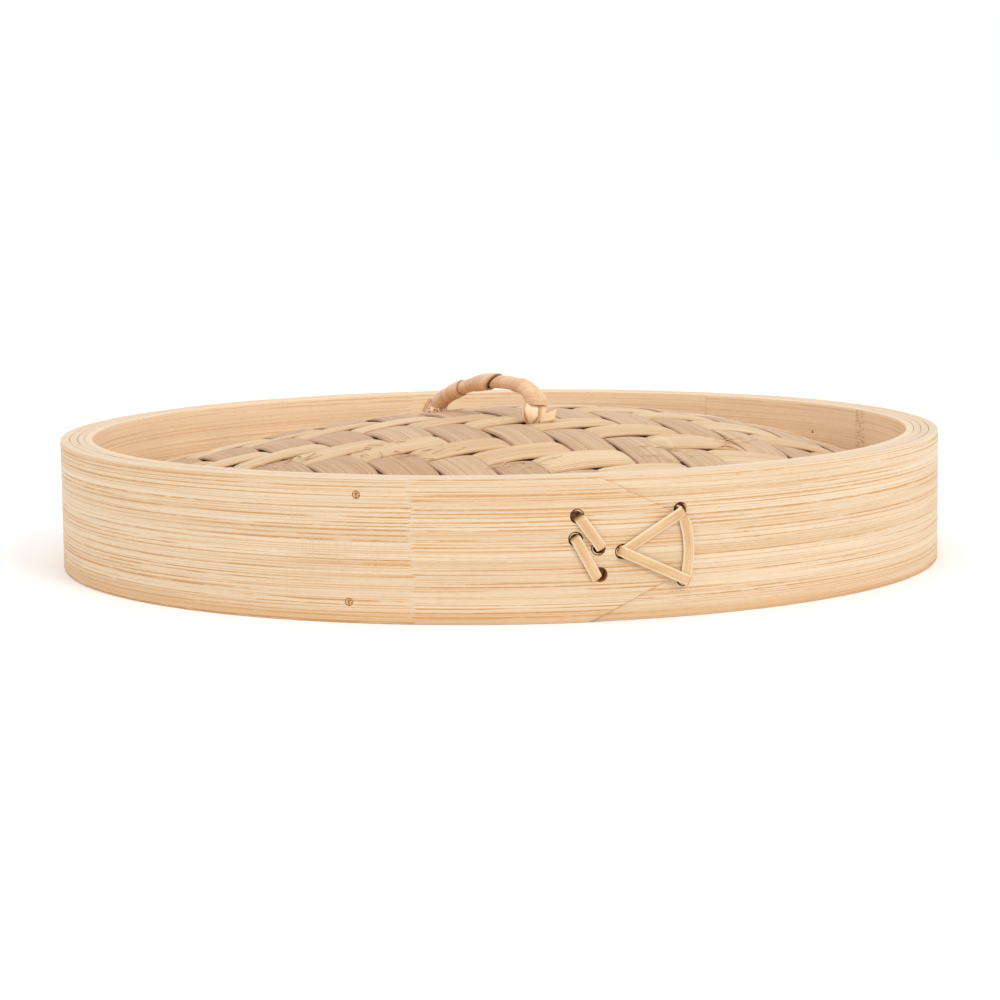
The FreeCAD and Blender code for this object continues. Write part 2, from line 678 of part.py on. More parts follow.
def handle():
    """A bent core through both mats, wrapped with cane and bound at its two feet."""
    route = handle_route()
    core = handle_tube("handle_core", route, ["front_clinch", "front_clinch_bend", "front_leg", "front_bend",
                       "arch", "rear_bend", "rear_leg", "rear_clinch_bend", "rear_clinch"], f"{D}core_radius")
    wrap_inner = f"({D}core_radius + {D}sleeve_gap)"
    wrap = handle_tube("handle_wrap", route, ["front_stub", "front_bend", "arch", "rear_bend"],
                       f"{D}wrap_radius", wrap_inner)
    binding_inner = f"({D}wrap_radius + {D}sleeve_gap)"
    front_radius = f"{D}front_binding_radius"
    sleeve = handle_tube("front_sleeve", route, ["front_stub", "front_part_bend"], front_radius, binding_inner)
    clear = doc.addObject("Part::Cylinder", "tail_clearance")
    clear.setExpression("Radius", f"({front_radius} + {binding_inner}) / 2")
    clear.setExpression("Height", f"2 * {D}hoop_height")
    x = f"{D}handle_middle_x + {D}handle_front * cos({D}handle_turn)"
    y = f"{D}handle_middle_y + {D}handle_front * sin({D}handle_turn)"
    clear.setExpression("Placement", f"placement(vector({x}; {y}; 0); rotation(0; 0; 0))")
    front = doc.addObject("Part::MultiFuse", "handle_front_binding")
    front.Shapes = [sleeve, cut("binding_tail", loose_tail(front_radius), clear)]
    rear = handle_tube("handle_rear_binding", route, ["rear_part_bend"],
                       f"{D}rear_binding_radius", binding_inner)
    return [core, wrap, front, rear]


# ---- the whole lid -------------------------------------------------------------------------------

def build():
    """Every node of the lid, in the order the record lists them."""
    upper_holes = pin_holes("upper_peg_holes", UPPER_PEG_ANGLES, f"{D}upper_peg_height")
    lower_holes = pin_holes("lower_peg_holes", LOWER_PEG_ANGLES, f"{D}lower_peg_height")
    space = clamped_space()
    legs = leg_places()
    nodes = hoop(upper_holes, lower_holes)
    nodes += lacing()
    nodes.append(peg_group("upper_pegs", UPPER_PEG_ANGLES, f"{D}upper_peg_height", FACE_INNER))
    nodes.append(peg_group("lower_pegs", LOWER_PEG_ANGLES, f"{D}lower_peg_height", SOCKET_RADIUS))
    nodes += woven_cover(space, legs)
    nodes += woven_lining(space, legs)
    nodes += handle()
    return nodes


def check(nodes):
    """Stops the macro if any feature failed or any node's shape is unusable."""
    for thing in doc.Objects:
        if "Invalid" in thing.State or "Error" in thing.State:
            raise RuntimeError(f"{thing.Name} did not compute: {thing.State}")
    for node in nodes:
        if node.Shape.isNull() or not node.Shape.isValid() or not node.Shape.Solids:
            raise RuntimeError(f"{node.Label} has no valid solid")


lid_nodes = build()
doc.recompute()
check(lid_nodes)
os.makedirs("parts", exist_ok=True)
for lid_node in lid_nodes:
    lid_node.Shape.exportStep(f"parts/{lid_node.Label}.step")
    volume = sum(solid.Volume for solid in lid_node.Shape.Solids)
    print(f"{lid_node.Label}: {len(lid_node.Shape.Solids)} solids, {volume:.0f} mm3")
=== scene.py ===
import random
from math import acos, atan2, cos, degrees, hypot, pi, radians, sin, sqrt, tau
import bpy
import numpy as np
from mathutils import Matrix, Vector, noise


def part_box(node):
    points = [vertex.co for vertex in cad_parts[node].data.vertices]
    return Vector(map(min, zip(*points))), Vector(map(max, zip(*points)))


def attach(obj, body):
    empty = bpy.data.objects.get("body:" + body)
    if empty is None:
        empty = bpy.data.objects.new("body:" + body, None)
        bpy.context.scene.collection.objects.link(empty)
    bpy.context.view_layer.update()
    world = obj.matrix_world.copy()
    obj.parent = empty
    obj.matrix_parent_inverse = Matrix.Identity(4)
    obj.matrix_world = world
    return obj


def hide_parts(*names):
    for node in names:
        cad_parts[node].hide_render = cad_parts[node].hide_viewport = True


# The looks of a round bamboo steamer lid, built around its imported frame.  Lengths in this script are
# millimetres; a mesh is scaled to metres when it is made.  Angles go counter-clockwise from +X seen
# from above, so the front, where the hoop's laced lap is, lies round 270 degrees.

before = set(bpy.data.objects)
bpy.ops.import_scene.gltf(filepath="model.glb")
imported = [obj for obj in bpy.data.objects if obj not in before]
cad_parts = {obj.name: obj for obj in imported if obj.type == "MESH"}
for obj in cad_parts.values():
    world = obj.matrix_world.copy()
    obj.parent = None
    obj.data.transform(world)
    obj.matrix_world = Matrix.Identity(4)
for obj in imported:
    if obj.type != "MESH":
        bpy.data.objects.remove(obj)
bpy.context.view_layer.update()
MM = 0.001
UP = Vector((0, 0, 1))

# ---- sizes from the frame ----


def radius_of(node):
    """The outer radius of a ring-shaped node."""
    low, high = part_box(node)
    return max(high.x, high.y, -low.x, -low.y) / MM


def heights_of(node):
    low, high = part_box(node)
    return low.z / MM, high.z / MM


HOOP_RADIUS = radius_of("outer_band")
HOOP_HEIGHT = heights_of("outer_band")[1]
SECOND_RADIUS = radius_of("second_band")
PACKING_RADIUS = radius_of("upper_packing_ring")
FACE_RADIUS = radius_of("upper_face_ring")
LAYER_GAP = 0.05
# A face ring is this much thicker than a packing ring with its gap.
FACE_EXTRA = 0.15
FACE_INNER = FACE_RADIUS - (PACKING_RADIUS - FACE_RADIUS) - FACE_EXTRA
COVER_EDGE = heights_of("upper_face_ring")[0] - LAYER_GAP

# The lap of the outer band, as the frame has it.
LAP_START = 216.0
LAP_TIP = 292.5
LAP_FLUSH = 345.0
LAP_EDGE = 0.6
LAP_FEATHER = 0.5
LAP_SLIT = 0.06
TONGUE_ROOT_HIGH = 281.1
TONGUE_ROOT_LOW = 280.0
TONGUE_TIP_HIGH = 24.2
TONGUE_TIP_LOW = 13.0

# Lacing holes and pegs: angle round the hoop, then height.
LACING_HOLES = {
    "a": (278.7, 27.0),
    "b": (278.5, 21.2),
    "c": (281.1, 18.7),
    "d": (281.3, 12.0),
    "e": (283.9, 17.6),
    "f": (291.1, 27.4),
    "g": (291.4, 9.7),
}
HOLE_RADIUS = 1.9
PEG_RADIUS = 1.0
BAND_THICKNESS = 2.6
SECOND_THICKNESS = 2.2
PACKING_THICKNESS = 2.0
SOCKET_PARING = 0.6
SOCKET_DEPTH = heights_of("lower_face_ring")[0]
SOCKET_LEAD = 0.6
SHOWING_PEG = 33.0
UPPER_PEGS = [(angle, 32.7) for angle in (253.5, SHOWING_PEG, 143.0)]
LOWER_PEGS = [(angle, 5.4) for angle in (252.4, 33.0, 143.0)]

# The woven cover: a two-over, two-under twill on a shallow dome whose crown leans towards +X.
COVER_RISE = 20.0
COVER_LEAN = 0.24
COVER_TURN = 22.0
COVER_PITCH = 13.0
COVER_WIDTH = 12.9
COVER_THICKNESS = 0.8
LIGHT_MIDDLE = 6.5
DARK_MIDDLE = 2.67
LINING_TURN = 67.0
LINING_PITCH = 18.0
LINING_WIDTH = 17.6
LINING_THICKNESS = 0.7
MAT_DEPTH = 2.7
MAT_GAP = 0.2
FLOAT_LIFT = 0.58

# Frayed spots: which set of strips, the strip's offset, the distance along it and how many splinters.
FRAYS = (
    ("light", -6.5, -100.0, 10),
    ("light", -19.5, -71.0, 18),
    ("light", -45.5, -41.0, 12),
    ("light", -71.5, -20.0, 14),
    ("light", -71.5, 20.0, 18),
    ("light", -58.5, 46.0, 14),
    ("dark", 49.3, -34.0, 9),
    ("dark", -28.7, 44.0, 9),
)


def polar(radius, angle, height=0.0):
    turn = radians(angle)
    return Vector((radius * cos(turn), radius * sin(turn), height))


def around(angle, turn):
    """A unit direction square to the hoop's radius at an angle, turned about that radius."""
    return polar(1.0, angle + 90) * cos(turn) + UP * sin(turn)


def smooth(value):
    """An S-curve from 0 to 1."""
    value = min(1.0, max(0.0, value))
    return value * value * (3 - 2 * value)


def wander(seed, position, amount):
    """A smooth, repeatable wobble along a length."""
    return amount * noise.noise(Vector((seed * 7.31, position, seed * 3.17)))


# ---- mesh building ----

def add_object(name, data):
    made = bpy.data.objects.new(name, data)
    bpy.context.scene.collection.objects.link(made)
    return made


def add_piece(name, vertices, faces, grain, material, sharp_angle=40.0):
    """A mesh piece in metres from millimetre vertices.

    grain holds, for each vertex, the distance along the fibres, across them and through them, and
    the materials read it, so their streaks follow every bend of the piece.
    """
    mesh = bpy.data.meshes.new(name)
    mesh.from_pydata([tuple(np.asarray(point) * MM) for point in vertices], [], faces)
    set_grain(mesh, grain)
    mesh.materials.append(material)
    mesh.shade_smooth()
    mesh.set_sharp_from_angle(angle=radians(sharp_angle))
    mesh.validate()
    return add_object(name, mesh)


def skin(rings, closed=False):
    """Quads over a list of vertex loops, with a face over each end unless the loops close up."""
    loop_size = len(rings[0])
    count = len(rings)
    vertices = [point for ring in rings for point in ring]
    faces = []
    for station in range(count if closed else count - 1):
        following = (station + 1) % count
        for index in range(loop_size):
            beside = (index + 1) % loop_size
            faces.append((station * loop_size + index, station * loop_size + beside,
                          following * loop_size + beside, following * loop_size + index))
    if not closed:
        faces.append(tuple(reversed(range(loop_size))))
        faces.append(tuple(range((count - 1) * loop_size, count * loop_size)))
    return vertices, faces


def merge(parts, spread=0.0, closed=False):
    """Joins several (rings, grain, rims) sweeps into one set of mesh lists.

    spread moves each sweep's grain along, so that no two sweeps have the same marks.
    """
    vertices, faces, grain, rims = [], [], [], []
    for number, (rings, marks, edges) in enumerate(parts):
        new_vertices, new_faces = skin(rings, closed)
        first = len(vertices)
        vertices += new_vertices
        faces += [tuple(first + index for index in face) for face in new_faces]
        grain += [(along + spread * number, across, through) for along, across, through in marks]
        rims += edges
    return vertices, faces, grain, rims


def sweep_piece(node, parts, material, slot, tones=None, sharp_angle=60, spread=70.0, closed=False):
    """The piece that stands for a node, from its sweeps; tones gives each sweep its own tone."""
    vertices, faces, grain, rims = merge(parts, spread, closed)
    piece = add_piece(node + "_look", vertices, faces, grain, material, sharp_angle)
    numbers = {"rim": rims}
    if tones:
        numbers["tone"] = [tone for tone, (_, marks, _) in zip(tones, parts) for _ in marks]
    for name, values in numbers.items():
        attribute = piece.data.attributes.new(name, "FLOAT", "POINT")
        attribute.data.foreach_set("value", np.asarray(values, dtype=np.float32))
    place(piece, slot, node)


def set_grain(mesh, marks):
    """Writes each vertex's distance along, across and through the fibres."""
    if "grain" in mesh.attributes:
        mesh.attributes.remove(mesh.attributes["grain"])
    attribute = mesh.attributes.new("grain", "FLOAT_VECTOR", "POINT")
    attribute.data.foreach_set("vector", np.asarray(marks, dtype=np.float32).ravel())


def place(piece, slot, node):
    """Hangs a piece on the lid and hides the node that it stands for."""
    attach(piece, "root")
    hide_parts(node)


def drill(piece, holes, start, turn_of):
    """Cuts round radial holes into a bent band; each hole is (angle, height, radius).

    turn_of gives the angle along the band, from a vertex's angle and radius.
    """
    sides = 28
    parts = []
    for angle, height, radius in holes:
        sideways = polar(1.0, angle + 90)
        rings = []
        for distance in (start, HOOP_RADIUS + 3.0):
            center = polar(1.0, angle) * distance + UP * height
            ring = []
            for side in range(sides):
                turn = tau * side / sides
                ragged = radius * (1 + 0.035 * noise.noise(Vector((height, angle, 3.0 * side / sides))))
                ring.append(center + sideways * ragged * cos(turn) + UP * (ragged * sin(turn)))
            rings.append(ring)
        parts.append((rings, [(angle, height, start)] * (2 * sides), []))
    vertices, faces, grain, _ = merge(parts)
    cutter = add_piece("cutter", vertices, faces, grain, piece.data.materials[0])
    modifier = piece.modifiers.new("holes", "BOOLEAN")
    modifier.operation = "DIFFERENCE"
    modifier.solver = "EXACT"
    modifier.object = cutter
    bpy.context.view_layer.update()
    graph = bpy.context.evaluated_depsgraph_get()
    result = bpy.data.meshes.new_from_object(piece.evaluated_get(graph), depsgraph=graph)
    piece.modifiers.clear()
    piece.data = result
    result.shade_smooth()
    result.set_sharp_from_angle(angle=radians(40))
    bpy.data.objects.remove(cutter)
    marks = []
    for vertex in result.vertices:
        x, y, z = vertex.co / MM
        radius = hypot(x, y)
        turn = turn_of(degrees(atan2(y, x)) % 360, radius)
        marks.append((radians(turn) * HOOP_RADIUS, z, radius))
    set_grain(result, marks)


# ---- materials ----

def srgb(red, green, blue):
    """A colour given in 0-255 display values, as the linear values that a shader takes."""
    channels = []
    for value in (red, green, blue):
        value /= 255.0
        channels.append(value / 12.92 if value <= 0.04045 else ((value + 0.055) / 1.055) ** 2.4)
    return (*channels, 1.0)


class Shader:
    """Short calls for building one material's nodes; colour is its surface colour so far.

    grain holds a point's distances along, across and through the fibres, in millimetres.
    """

    def __init__(self, name):
        self.material = bpy.data.materials.new(name)
        self.material.use_nodes = True
        self.tree = self.material.node_tree
        self.marks = self.add("ShaderNodeAttribute", attribute_name="grain").outputs["Vector"]
        self.grain = self.add("ShaderNodeSeparateXYZ", {"Vector": self.marks}).outputs

    def add(self, kind, inputs=None, **settings):
        made = self.tree.nodes.new(kind)
        for key, value in settings.items():
            setattr(made, key, value)
        for key, value in (inputs or {}).items():
            self.feed(made.inputs[key], value)
        return made

    def feed(self, socket, value):
        if isinstance(value, bpy.types.NodeSocket):
            self.tree.links.new(value, socket)
        else:
            socket.default_value = value

    def math(self, operation, *values):
        return self.add("ShaderNodeMath", dict(enumerate(values)), operation=operation).outputs[0]

    def times(self, first, second):
        return self.math("MULTIPLY", first, second)

    def plus(self, first, second):
        return self.math("ADD", first, second)

    def apart(self, first, second):
        return self.math("ABSOLUTE", self.math("SUBTRACT", first, second))

    def weigh(self, *terms):
        """The sum of some values, each times its weight."""
        total = 0.0
        for value, weight in terms:
            total = self.plus(total, self.times(value, weight))
        return total

    def vector_math(self, operation, *values):
        made = self.add("ShaderNodeVectorMath", dict(enumerate(values)), operation=operation)
        return made.outputs["Value" if operation == "DOT_PRODUCT" else "Vector"]

    def own(self, name):
        """A number that each vertex of the piece carries."""
        return self.add("ShaderNodeAttribute", attribute_name=name).outputs["Fac"]

    def noise(self, along, across, through, seed=0.0, detail=2.0, rough=0.5):
        """Noise stretched along the fibres: each scale is features per millimetre."""
        scaled = self.vector_math("MULTIPLY", self.marks, (along, across, through))
        return self.add("ShaderNodeTexNoise", {"Vector": scaled, "W": seed, "Scale": 1.0, "Detail": detail,
                                               "Roughness": rough}, noise_dimensions="4D").outputs["Fac"]

    def fibre_lines(self, spacing, share, uneven, seed):
        """Thin straight lines along the fibres, about spacing apart, each share of that wide."""
        across = self.math("DIVIDE", self.grain[1], spacing)
        bend = self.noise(0.0025, 0.35 / spacing, 0.3, seed, detail=1.0)
        phase = self.plus(across, self.times(bend, uneven))
        return self.ramp(self.apart(self.math("FRACT", phase), 0.5), share * 0.58, share * 0.42)

    def ramp(self, value, low, high, low_out=0.0, high_out=1.0):
        """A smooth step from low_out to high_out as value goes from low to high."""
        return self.add("ShaderNodeMapRange", {"Value": value, "From Min": low, "From Max": high,
                                               "To Min": low_out, "To Max": high_out},
                        interpolation_type="SMOOTHSTEP").outputs["Result"]

    def mix(self, factor, first, second):
        return self.add("ShaderNodeMix", {0: factor, 6: first, 7: second}, data_type="RGBA").outputs[2]

    def paint(self, colour, mask, strength=1.0):
        """Lays a colour over the surface, as thickly as the mask times the strength."""
        if strength != 1.0:
            mask = self.times(mask, strength)
        self.colour = self.mix(mask, self.colour, colour)

    def finish(self, roughness, height, depth, specular=0.4, coat=0.0, coat_roughness=0.3, sheen=0.0):
        """Joins the colour, a roughness and a height in units of depth millimetres to the surface."""
        bump = self.add("ShaderNodeBump", {"Height": height, "Distance": depth * MM, "Strength": 1.0})
        settings = {"Base Color": self.colour, "Roughness": roughness, "Normal": bump.outputs[0],
                    "Specular IOR Level": specular, "Coat Weight": coat, "Coat Roughness": coat_roughness,
                    "Sheen Weight": sheen}
        for name, value in settings.items():
            self.feed(self.tree.nodes["Principled BSDF"].inputs[name], value)
        return self.material


def node_shift(look, joints, seed):
    """A noise seed that jumps at each of a strip's bamboo joints, with a ragged edge, and a mask that
    is 1 on the joints themselves."""
    along, across, _ = look.grain
    ragged = look.noise(0.02, 0.9, 0.0, seed + 31.0, detail=3.0)
    shifted = look.plus(along, look.math("MULTIPLY_ADD", ragged, 8.0, -2.9))
    slanted = look.plus(shifted, look.times(across, 0.02))
    total = seed
    mask = 0.0
    for joint in joints:
        total = look.plus(total, look.times(look.ramp(slanted, joint, joint + 0.5), 5.7))
        mask = look.math("MAXIMUM", mask, look.ramp(look.apart(slanted, joint + 0.25), 1.3, 0.2))
    return total, mask


# Painted shade: a deep brown for side walls such as the drilled holes' walls, standing in for the warm, dim
# light inside them.
PAINTED_BORE_SHADE = srgb(212, 156, 98)


def band_material(name, joints, seed, pale, warm, streak, edge, contrast=1.0, scar_at=None,
                  chatter_at=None):
    """Planed bamboo: cream ground and straight amber fibre lines that stop at the joints.

    contrast is the lines' strength, scar_at the place of a rough joint, and chatter_at is where
    the plane left marks across the fibres.
    """
    look = Shader(name)
    along, across, _ = look.grain
    deep = tuple(0.75 * channel for channel in streak[:3]) + (1.0,)
    shift, joint_mask = node_shift(look, joints, seed)
    ground = look.noise(0.005, 0.3, 0.3, seed, detail=3.0)
    look.colour = look.mix(look.ramp(ground, 0.35, 0.7), pale, warm)

    fine = look.noise(0.009, 4.8, 2.0, shift, rough=0.6)
    thin_on = look.ramp(look.noise(0.014, 1.9, 0.5, shift, detail=1.0), 0.44, 0.60)
    thin = look.times(look.fibre_lines(0.6, 0.40, 1.2, shift), thin_on)
    bold_on = look.ramp(look.noise(0.007, 0.95, 0.5, shift), 0.42, 0.56)
    breaks = look.ramp(look.noise(0.035, 1.3, 0.5, shift, detail=1.0), 0.34, 0.44)
    gaps = look.ramp(look.noise(0.13, 2.2, 0.5, seed + 23.0), 0.36, 0.44, 0.25, 1.0)
    bold_on = look.times(look.times(bold_on, breaks), gaps)
    bold = look.times(look.fibre_lines(1.1, 0.36, 2.0, shift), bold_on)
    dark_run = look.ramp(look.noise(0.007, 0.05, 0.1, shift), 0.45, 0.62, 0.0, 0.45)
    look.paint(streak, look.ramp(fine, 0.5, 0.68, 0.0, 0.26 * contrast))
    look.paint(streak, thin, 0.6 * contrast)
    look.paint(look.mix(dark_run, streak, deep), bold, 0.95 * contrast)

    speckle = look.noise(0.5, 3.4, 1.0, seed + 27.0, detail=3.0, rough=0.7)
    look.paint(streak, look.ramp(speckle, 0.50, 0.68, 0.0, 0.22))
    look.paint(pale, look.ramp(speckle, 0.50, 0.34, 0.0, 0.30))
    hair = look.noise(0.03, 11.0, 4.0, seed + 9.0, detail=1.0)
    look.paint(pale, look.ramp(hair, 0.35, 0.65, 0.12, 0.0))
    look.paint(pale, joint_mask, 0.25)
    if scar_at is not None:
        rubbed = look.noise(0.8, 1.9, 0.3, seed + 17.0, detail=3.0, rough=0.7)
        scar = look.ramp(look.apart(along, scar_at), 3.6, 2.2, 0.0, 0.62)
        look.paint(deep, look.times(look.ramp(rubbed, 0.48, 0.58), scar))
    flecks = look.noise(0.30, 3.2, 1.0, seed + 11.0)
    look.paint(deep, look.ramp(flecks, 0.65, 0.73, 0.0, 0.5))
    look.paint(streak, look.ramp(across, 5.0, 0.3, 0.0, 0.34))

    geometry = look.add("ShaderNodeNewGeometry").outputs
    facing = look.add("ShaderNodeSeparateXYZ", {"Vector": geometry["True Normal"]})
    cut_edge = look.ramp(look.math("ABSOLUTE", facing.outputs["Z"]), 0.6, 0.9)
    crumbs = look.noise(0.05, 0.8, 1.6, seed + 3.0, detail=4.0, rough=0.7)
    look.paint(look.mix(look.ramp(crumbs, 0.48, 0.72, 0.0, 0.8), edge, warm), cut_edge, 0.9)
    # Painted shade: faces that look neither out nor in, such as the drilled holes' walls and the cut ends at
    # the lap and seams, get the deep brown away from the band's top and bottom, for the warm shade inside
    # them.
    outward = look.vector_math("MULTIPLY", geometry["Position"], (1.0, 1.0, 0.0))
    outward = look.vector_math("NORMALIZE", outward)
    outward_share = look.vector_math("DOT_PRODUCT", outward, geometry["True Normal"])
    edge_on = look.ramp(look.math("ABSOLUTE", outward_share), 0.6, 0.3)
    inside = look.times(look.ramp(across, 3.0, 4.0), look.ramp(across, 33.0, 32.0))
    look.paint(PAINTED_BORE_SHADE, look.times(edge_on, inside))

    chatter = look.noise(1.5, 0.06, 0.2, seed + 5.0, rough=0.6)
    reach = look.times(joint_mask, 0.6)
    if chatter_at is not None:
        near = look.ramp(look.apart(along, chatter_at), 24.0, 12.0, 0.15, 1.0)
        reach = look.math("MAXIMUM", reach, near)
    patchy = look.ramp(look.noise(0.03, 0.12, 0.1, seed + 8.0), 0.40, 0.55)
    marks = look.times(look.times(chatter, reach), patchy)
    look.paint(warm, look.ramp(marks, 0.42, 0.6), 0.42)
    relief = look.weigh((bold, -0.4), (fine, 0.5), (marks, 0.4), (hair, 0.3))
    return look.finish(look.plus(look.times(fine, 0.25), 0.45), relief, 0.05, specular=0.3)


def strip_material(name, seed, pale, warm, streak, roughness):
    """Split bamboo for weaving: long fine fibres, one joint, tone that changes from strip to strip."""
    look = Shader(name)
    tone = look.own("tone")
    shift = look.plus(look.times(tone, 40.0), seed)
    ground = look.weigh((look.noise(0.02, 0.16, 0.1, shift, detail=3.0), 0.7), (tone, 0.3))
    look.colour = look.mix(look.ramp(ground, 0.3, 0.7), pale, warm)
    breaks = look.ramp(look.noise(0.012, 1.6, 0.5, shift), 0.40, 0.60, 0.05, 1.0)
    lines = look.times(look.fibre_lines(0.8, 0.32, 2.6, shift), breaks)
    fine = look.noise(0.02, 6.0, 2.0, shift, detail=3.0, rough=0.7)
    look.paint(streak, look.ramp(fine, 0.5, 0.7, 0.0, 0.35))
    look.paint(streak, lines, 0.6)
    look.paint(pale, look.ramp(fine, 0.42, 0.25, 0.0, 0.5))
    joint = look.plus(look.times(tone, 190.0), -95.0)
    uneven = look.times(look.noise(0.02, 0.5, 0.0, shift), 5.0)
    joint_mask = look.ramp(look.apart(look.plus(look.grain[0], uneven), joint), 1.6, 0.3)
    look.paint(pale, joint_mask, 0.5)
    # Painted shade, partly the split's own darker edge: the streak colour is laid along each strip's edges
    # for the thin shadow lines beside them.
    look.paint(streak, look.own("rim"), 0.8)
    relief = look.weigh((lines, -0.5), (fine, 0.6), (joint_mask, 0.8))
    return look.finish(look.plus(look.times(fine, 0.3), roughness), relief, 0.12, sheen=0.05)


def cane_material(name, seed, pale, warm, streak, rim, roughness, coat):
    """Rattan skin: smooth and slightly shiny, with faint lengthwise lines and cross marks."""
    look = Shader(name)
    ground = look.noise(0.10, 0.45, 0.3, seed, detail=3.0)
    look.colour = look.mix(look.ramp(ground, 0.35, 0.65), pale, warm)
    lines = look.noise(0.03, 3.4, 1.0, seed + 2.0, detail=3.0, rough=0.6)
    look.paint(streak, look.ramp(lines, 0.52, 0.70, 0.0, 0.5))
    look.paint(pale, look.ramp(lines, 0.46, 0.32, 0.0, 0.5))
    cross = look.noise(1.3, 0.6, 0.2, seed + 4.0, detail=3.0, rough=0.6)
    look.paint(streak, look.ramp(cross, 0.55, 0.72, 0.0, 0.3))
    # On the handle wrap, the rim colour laid here is painted shade at the turns' edges and in the gaps
    # between them.
    look.paint(rim, look.own("rim"), 0.75)
    uneven = look.plus(look.times(ground, 0.2), roughness)
    relief = look.weigh((lines, 0.5), (cross, 0.3))
    return look.finish(uneven, relief, 0.06, specular=0.5, coat=coat, coat_roughness=0.18)


def peg_material():
    """End grain: dark rim, pale broken middle."""
    look = Shader("peg_end_grain")
    spots = look.noise(2.2, 2.2, 0.2, 4.0, detail=3.0, rough=0.7)
    look.colour = look.mix(look.ramp(spots, 0.4, 0.62), srgb(150, 96, 52), srgb(228, 190, 140))
    look.paint(srgb(176, 122, 70), look.own("rim"), 0.8)
    return look.finish(0.7, spots, 0.15, specular=0.2)


# ---- the hoop ----

def section_loop(inner, outer, bottom, top, rows, bevel):
    """A tall rounded rectangle as (radius, height) pairs, counter-clockwise from its outer foot."""
    corner = [radians(angle) for angle in (0, 30, 60, 90)]
    bevel = min(bevel, (outer - inner) / 2.05)
    points = []
    corners = (
        (outer - bevel, bottom + bevel, -90),
        (outer - bevel, top - bevel, 0),
        (inner + bevel, top - bevel, 90),
        (inner + bevel, bottom + bevel, 180),
    )
    for index, (center_r, center_z, turn) in enumerate(corners):
        for step in corner:
            angle = radians(turn) + step
            points.append((center_r + bevel * cos(angle), center_z + bevel * sin(angle)))
        if index in (0, 2):
            start = points[-1]
            end_z = top - bevel if index == 0 else bottom + bevel
            for row in range(1, rows):
                points.append((start[0], start[1] + (end_z - start[1]) * row / rows))
    return points


def bent_ring(name, material, slot, inner, outer, bottom, top, seam, rows, seed):
    """A strip bent into a ring: a hairline gap at the seam, and a slightly uneven top and faces."""
    stations = 420
    gap = 0.05
    rings, grain = [], []
    for station in range(stations):
        angle = seam + gap / 2 + (360 - gap) * station / (stations - 1)
        along = radians(angle) * outer
        ripple = wander(seed, along * 0.05, 0.12) + wander(seed + 1, along * 0.4, 0.04)
        loop = section_loop(inner, outer, bottom, top + ripple * 0.8, rows, 0.28)
        ring = []
        for radius, height in loop:
            swell = wander(seed + 2, along * 0.02 + height * 0.03, 0.06)
            ring.append(polar(radius - abs(swell) * 0.5, angle, height))
            grain.append((along, height, radius))
        rings.append(ring)
    piece = add_piece(name + "_look", *skin(rings), grain, material)
    place(piece, slot, name)
    return piece


def lap_radius(angle):
    """The radius of the slit between the two turns of the lap."""
    start = HOOP_RADIUS - BAND_THICKNESS + LAP_FEATHER
    tip = HOOP_RADIUS - LAP_EDGE
    share = (angle - LAP_START) / (LAP_TIP - LAP_START)
    return start + share * (tip - start) - LAP_SLIT / 2


def tongue_heights(angle):
    """The band's lower and upper edge where its end narrows to the tongue."""
    low_share = max(0.0, (angle - TONGUE_ROOT_LOW) / (LAP_TIP - TONGUE_ROOT_LOW))
    high_share = max(0.0, (angle - TONGUE_ROOT_HIGH) / (LAP_TIP - TONGUE_ROOT_HIGH))
    return low_share * TONGUE_TIP_LOW, HOOP_HEIGHT + high_share * (TONGUE_TIP_HIGH - HOOP_HEIGHT)


def turn_along_outer_band(angle, radius):
    """The angle along the band; its second turn comes after 360 degrees of the first."""
    outer_turn = angle <= LAP_TIP + 0.05 and radius > lap_radius(angle)
    return angle + 360 if angle < LAP_START or outer_turn else angle


def outer_band(material):
    """One strip from its hidden inner end, once round the hoop, to the tongue that overlaps it."""
    inner = HOOP_RADIUS - BAND_THICKNESS
    round_end = LAP_START + 360
    last = LAP_TIP + 360
    angles = list(np.arange(LAP_START, LAP_TIP, 1.5)) + list(np.arange(LAP_TIP, round_end, 0.9))
    angles += [round_end - 0.05, round_end + 0.05]
    angles += list(np.arange(round_end + 0.8, TONGUE_ROOT_LOW + 359.5, 0.9))
    angles += list(np.linspace(TONGUE_ROOT_LOW + 359.7, last, 48))
    rings, grain = [], []
    for turn in angles:
        angle = turn % 360
        along = radians(turn) * HOOP_RADIUS
        near, far = inner, HOOP_RADIUS
        bottom, top = 0.0, HOOP_HEIGHT
        if turn <= LAP_TIP:
            far = lap_radius(turn) - LAP_SLIT / 2
        elif turn < LAP_FLUSH:
            under = HOOP_RADIUS - LAP_EDGE - LAP_SLIT
            far = under + (HOOP_RADIUS - under) * smooth((turn - LAP_TIP) / (LAP_FLUSH - LAP_TIP))
        elif turn > round_end:
            near = lap_radius(angle) + LAP_SLIT / 2
            bottom, top = tongue_heights(angle)
        ripple = wander(4, along * 0.05, 0.10) + wander(5, along * 0.5, 0.03)
        loop = section_loop(near, far, bottom, top + (ripple if top == HOOP_HEIGHT else 0.0), 20, 0.3)
        grain += [(along, height, radius) for radius, height in loop]
        rings.append([polar(radius, angle, height) for radius, height in loop])
    piece = add_piece("outer_band_look", *skin(rings), grain, material)
    holes = [(*spot, HOLE_RADIUS) for spot in LACING_HOLES.values()]
    holes += [(*spot, PEG_RADIUS + 0.08) for spot in UPPER_PEGS + LOWER_PEGS]
    drill(piece, holes, SECOND_RADIUS - 1.0, turn_along_outer_band)
    place(piece, "band_bamboo", "outer_band")


def ring_joints(radius, *angles):
    """Where bamboo joints lie along a strip that is bent to a radius."""
    return [radians(angle) * radius for angle in angles]


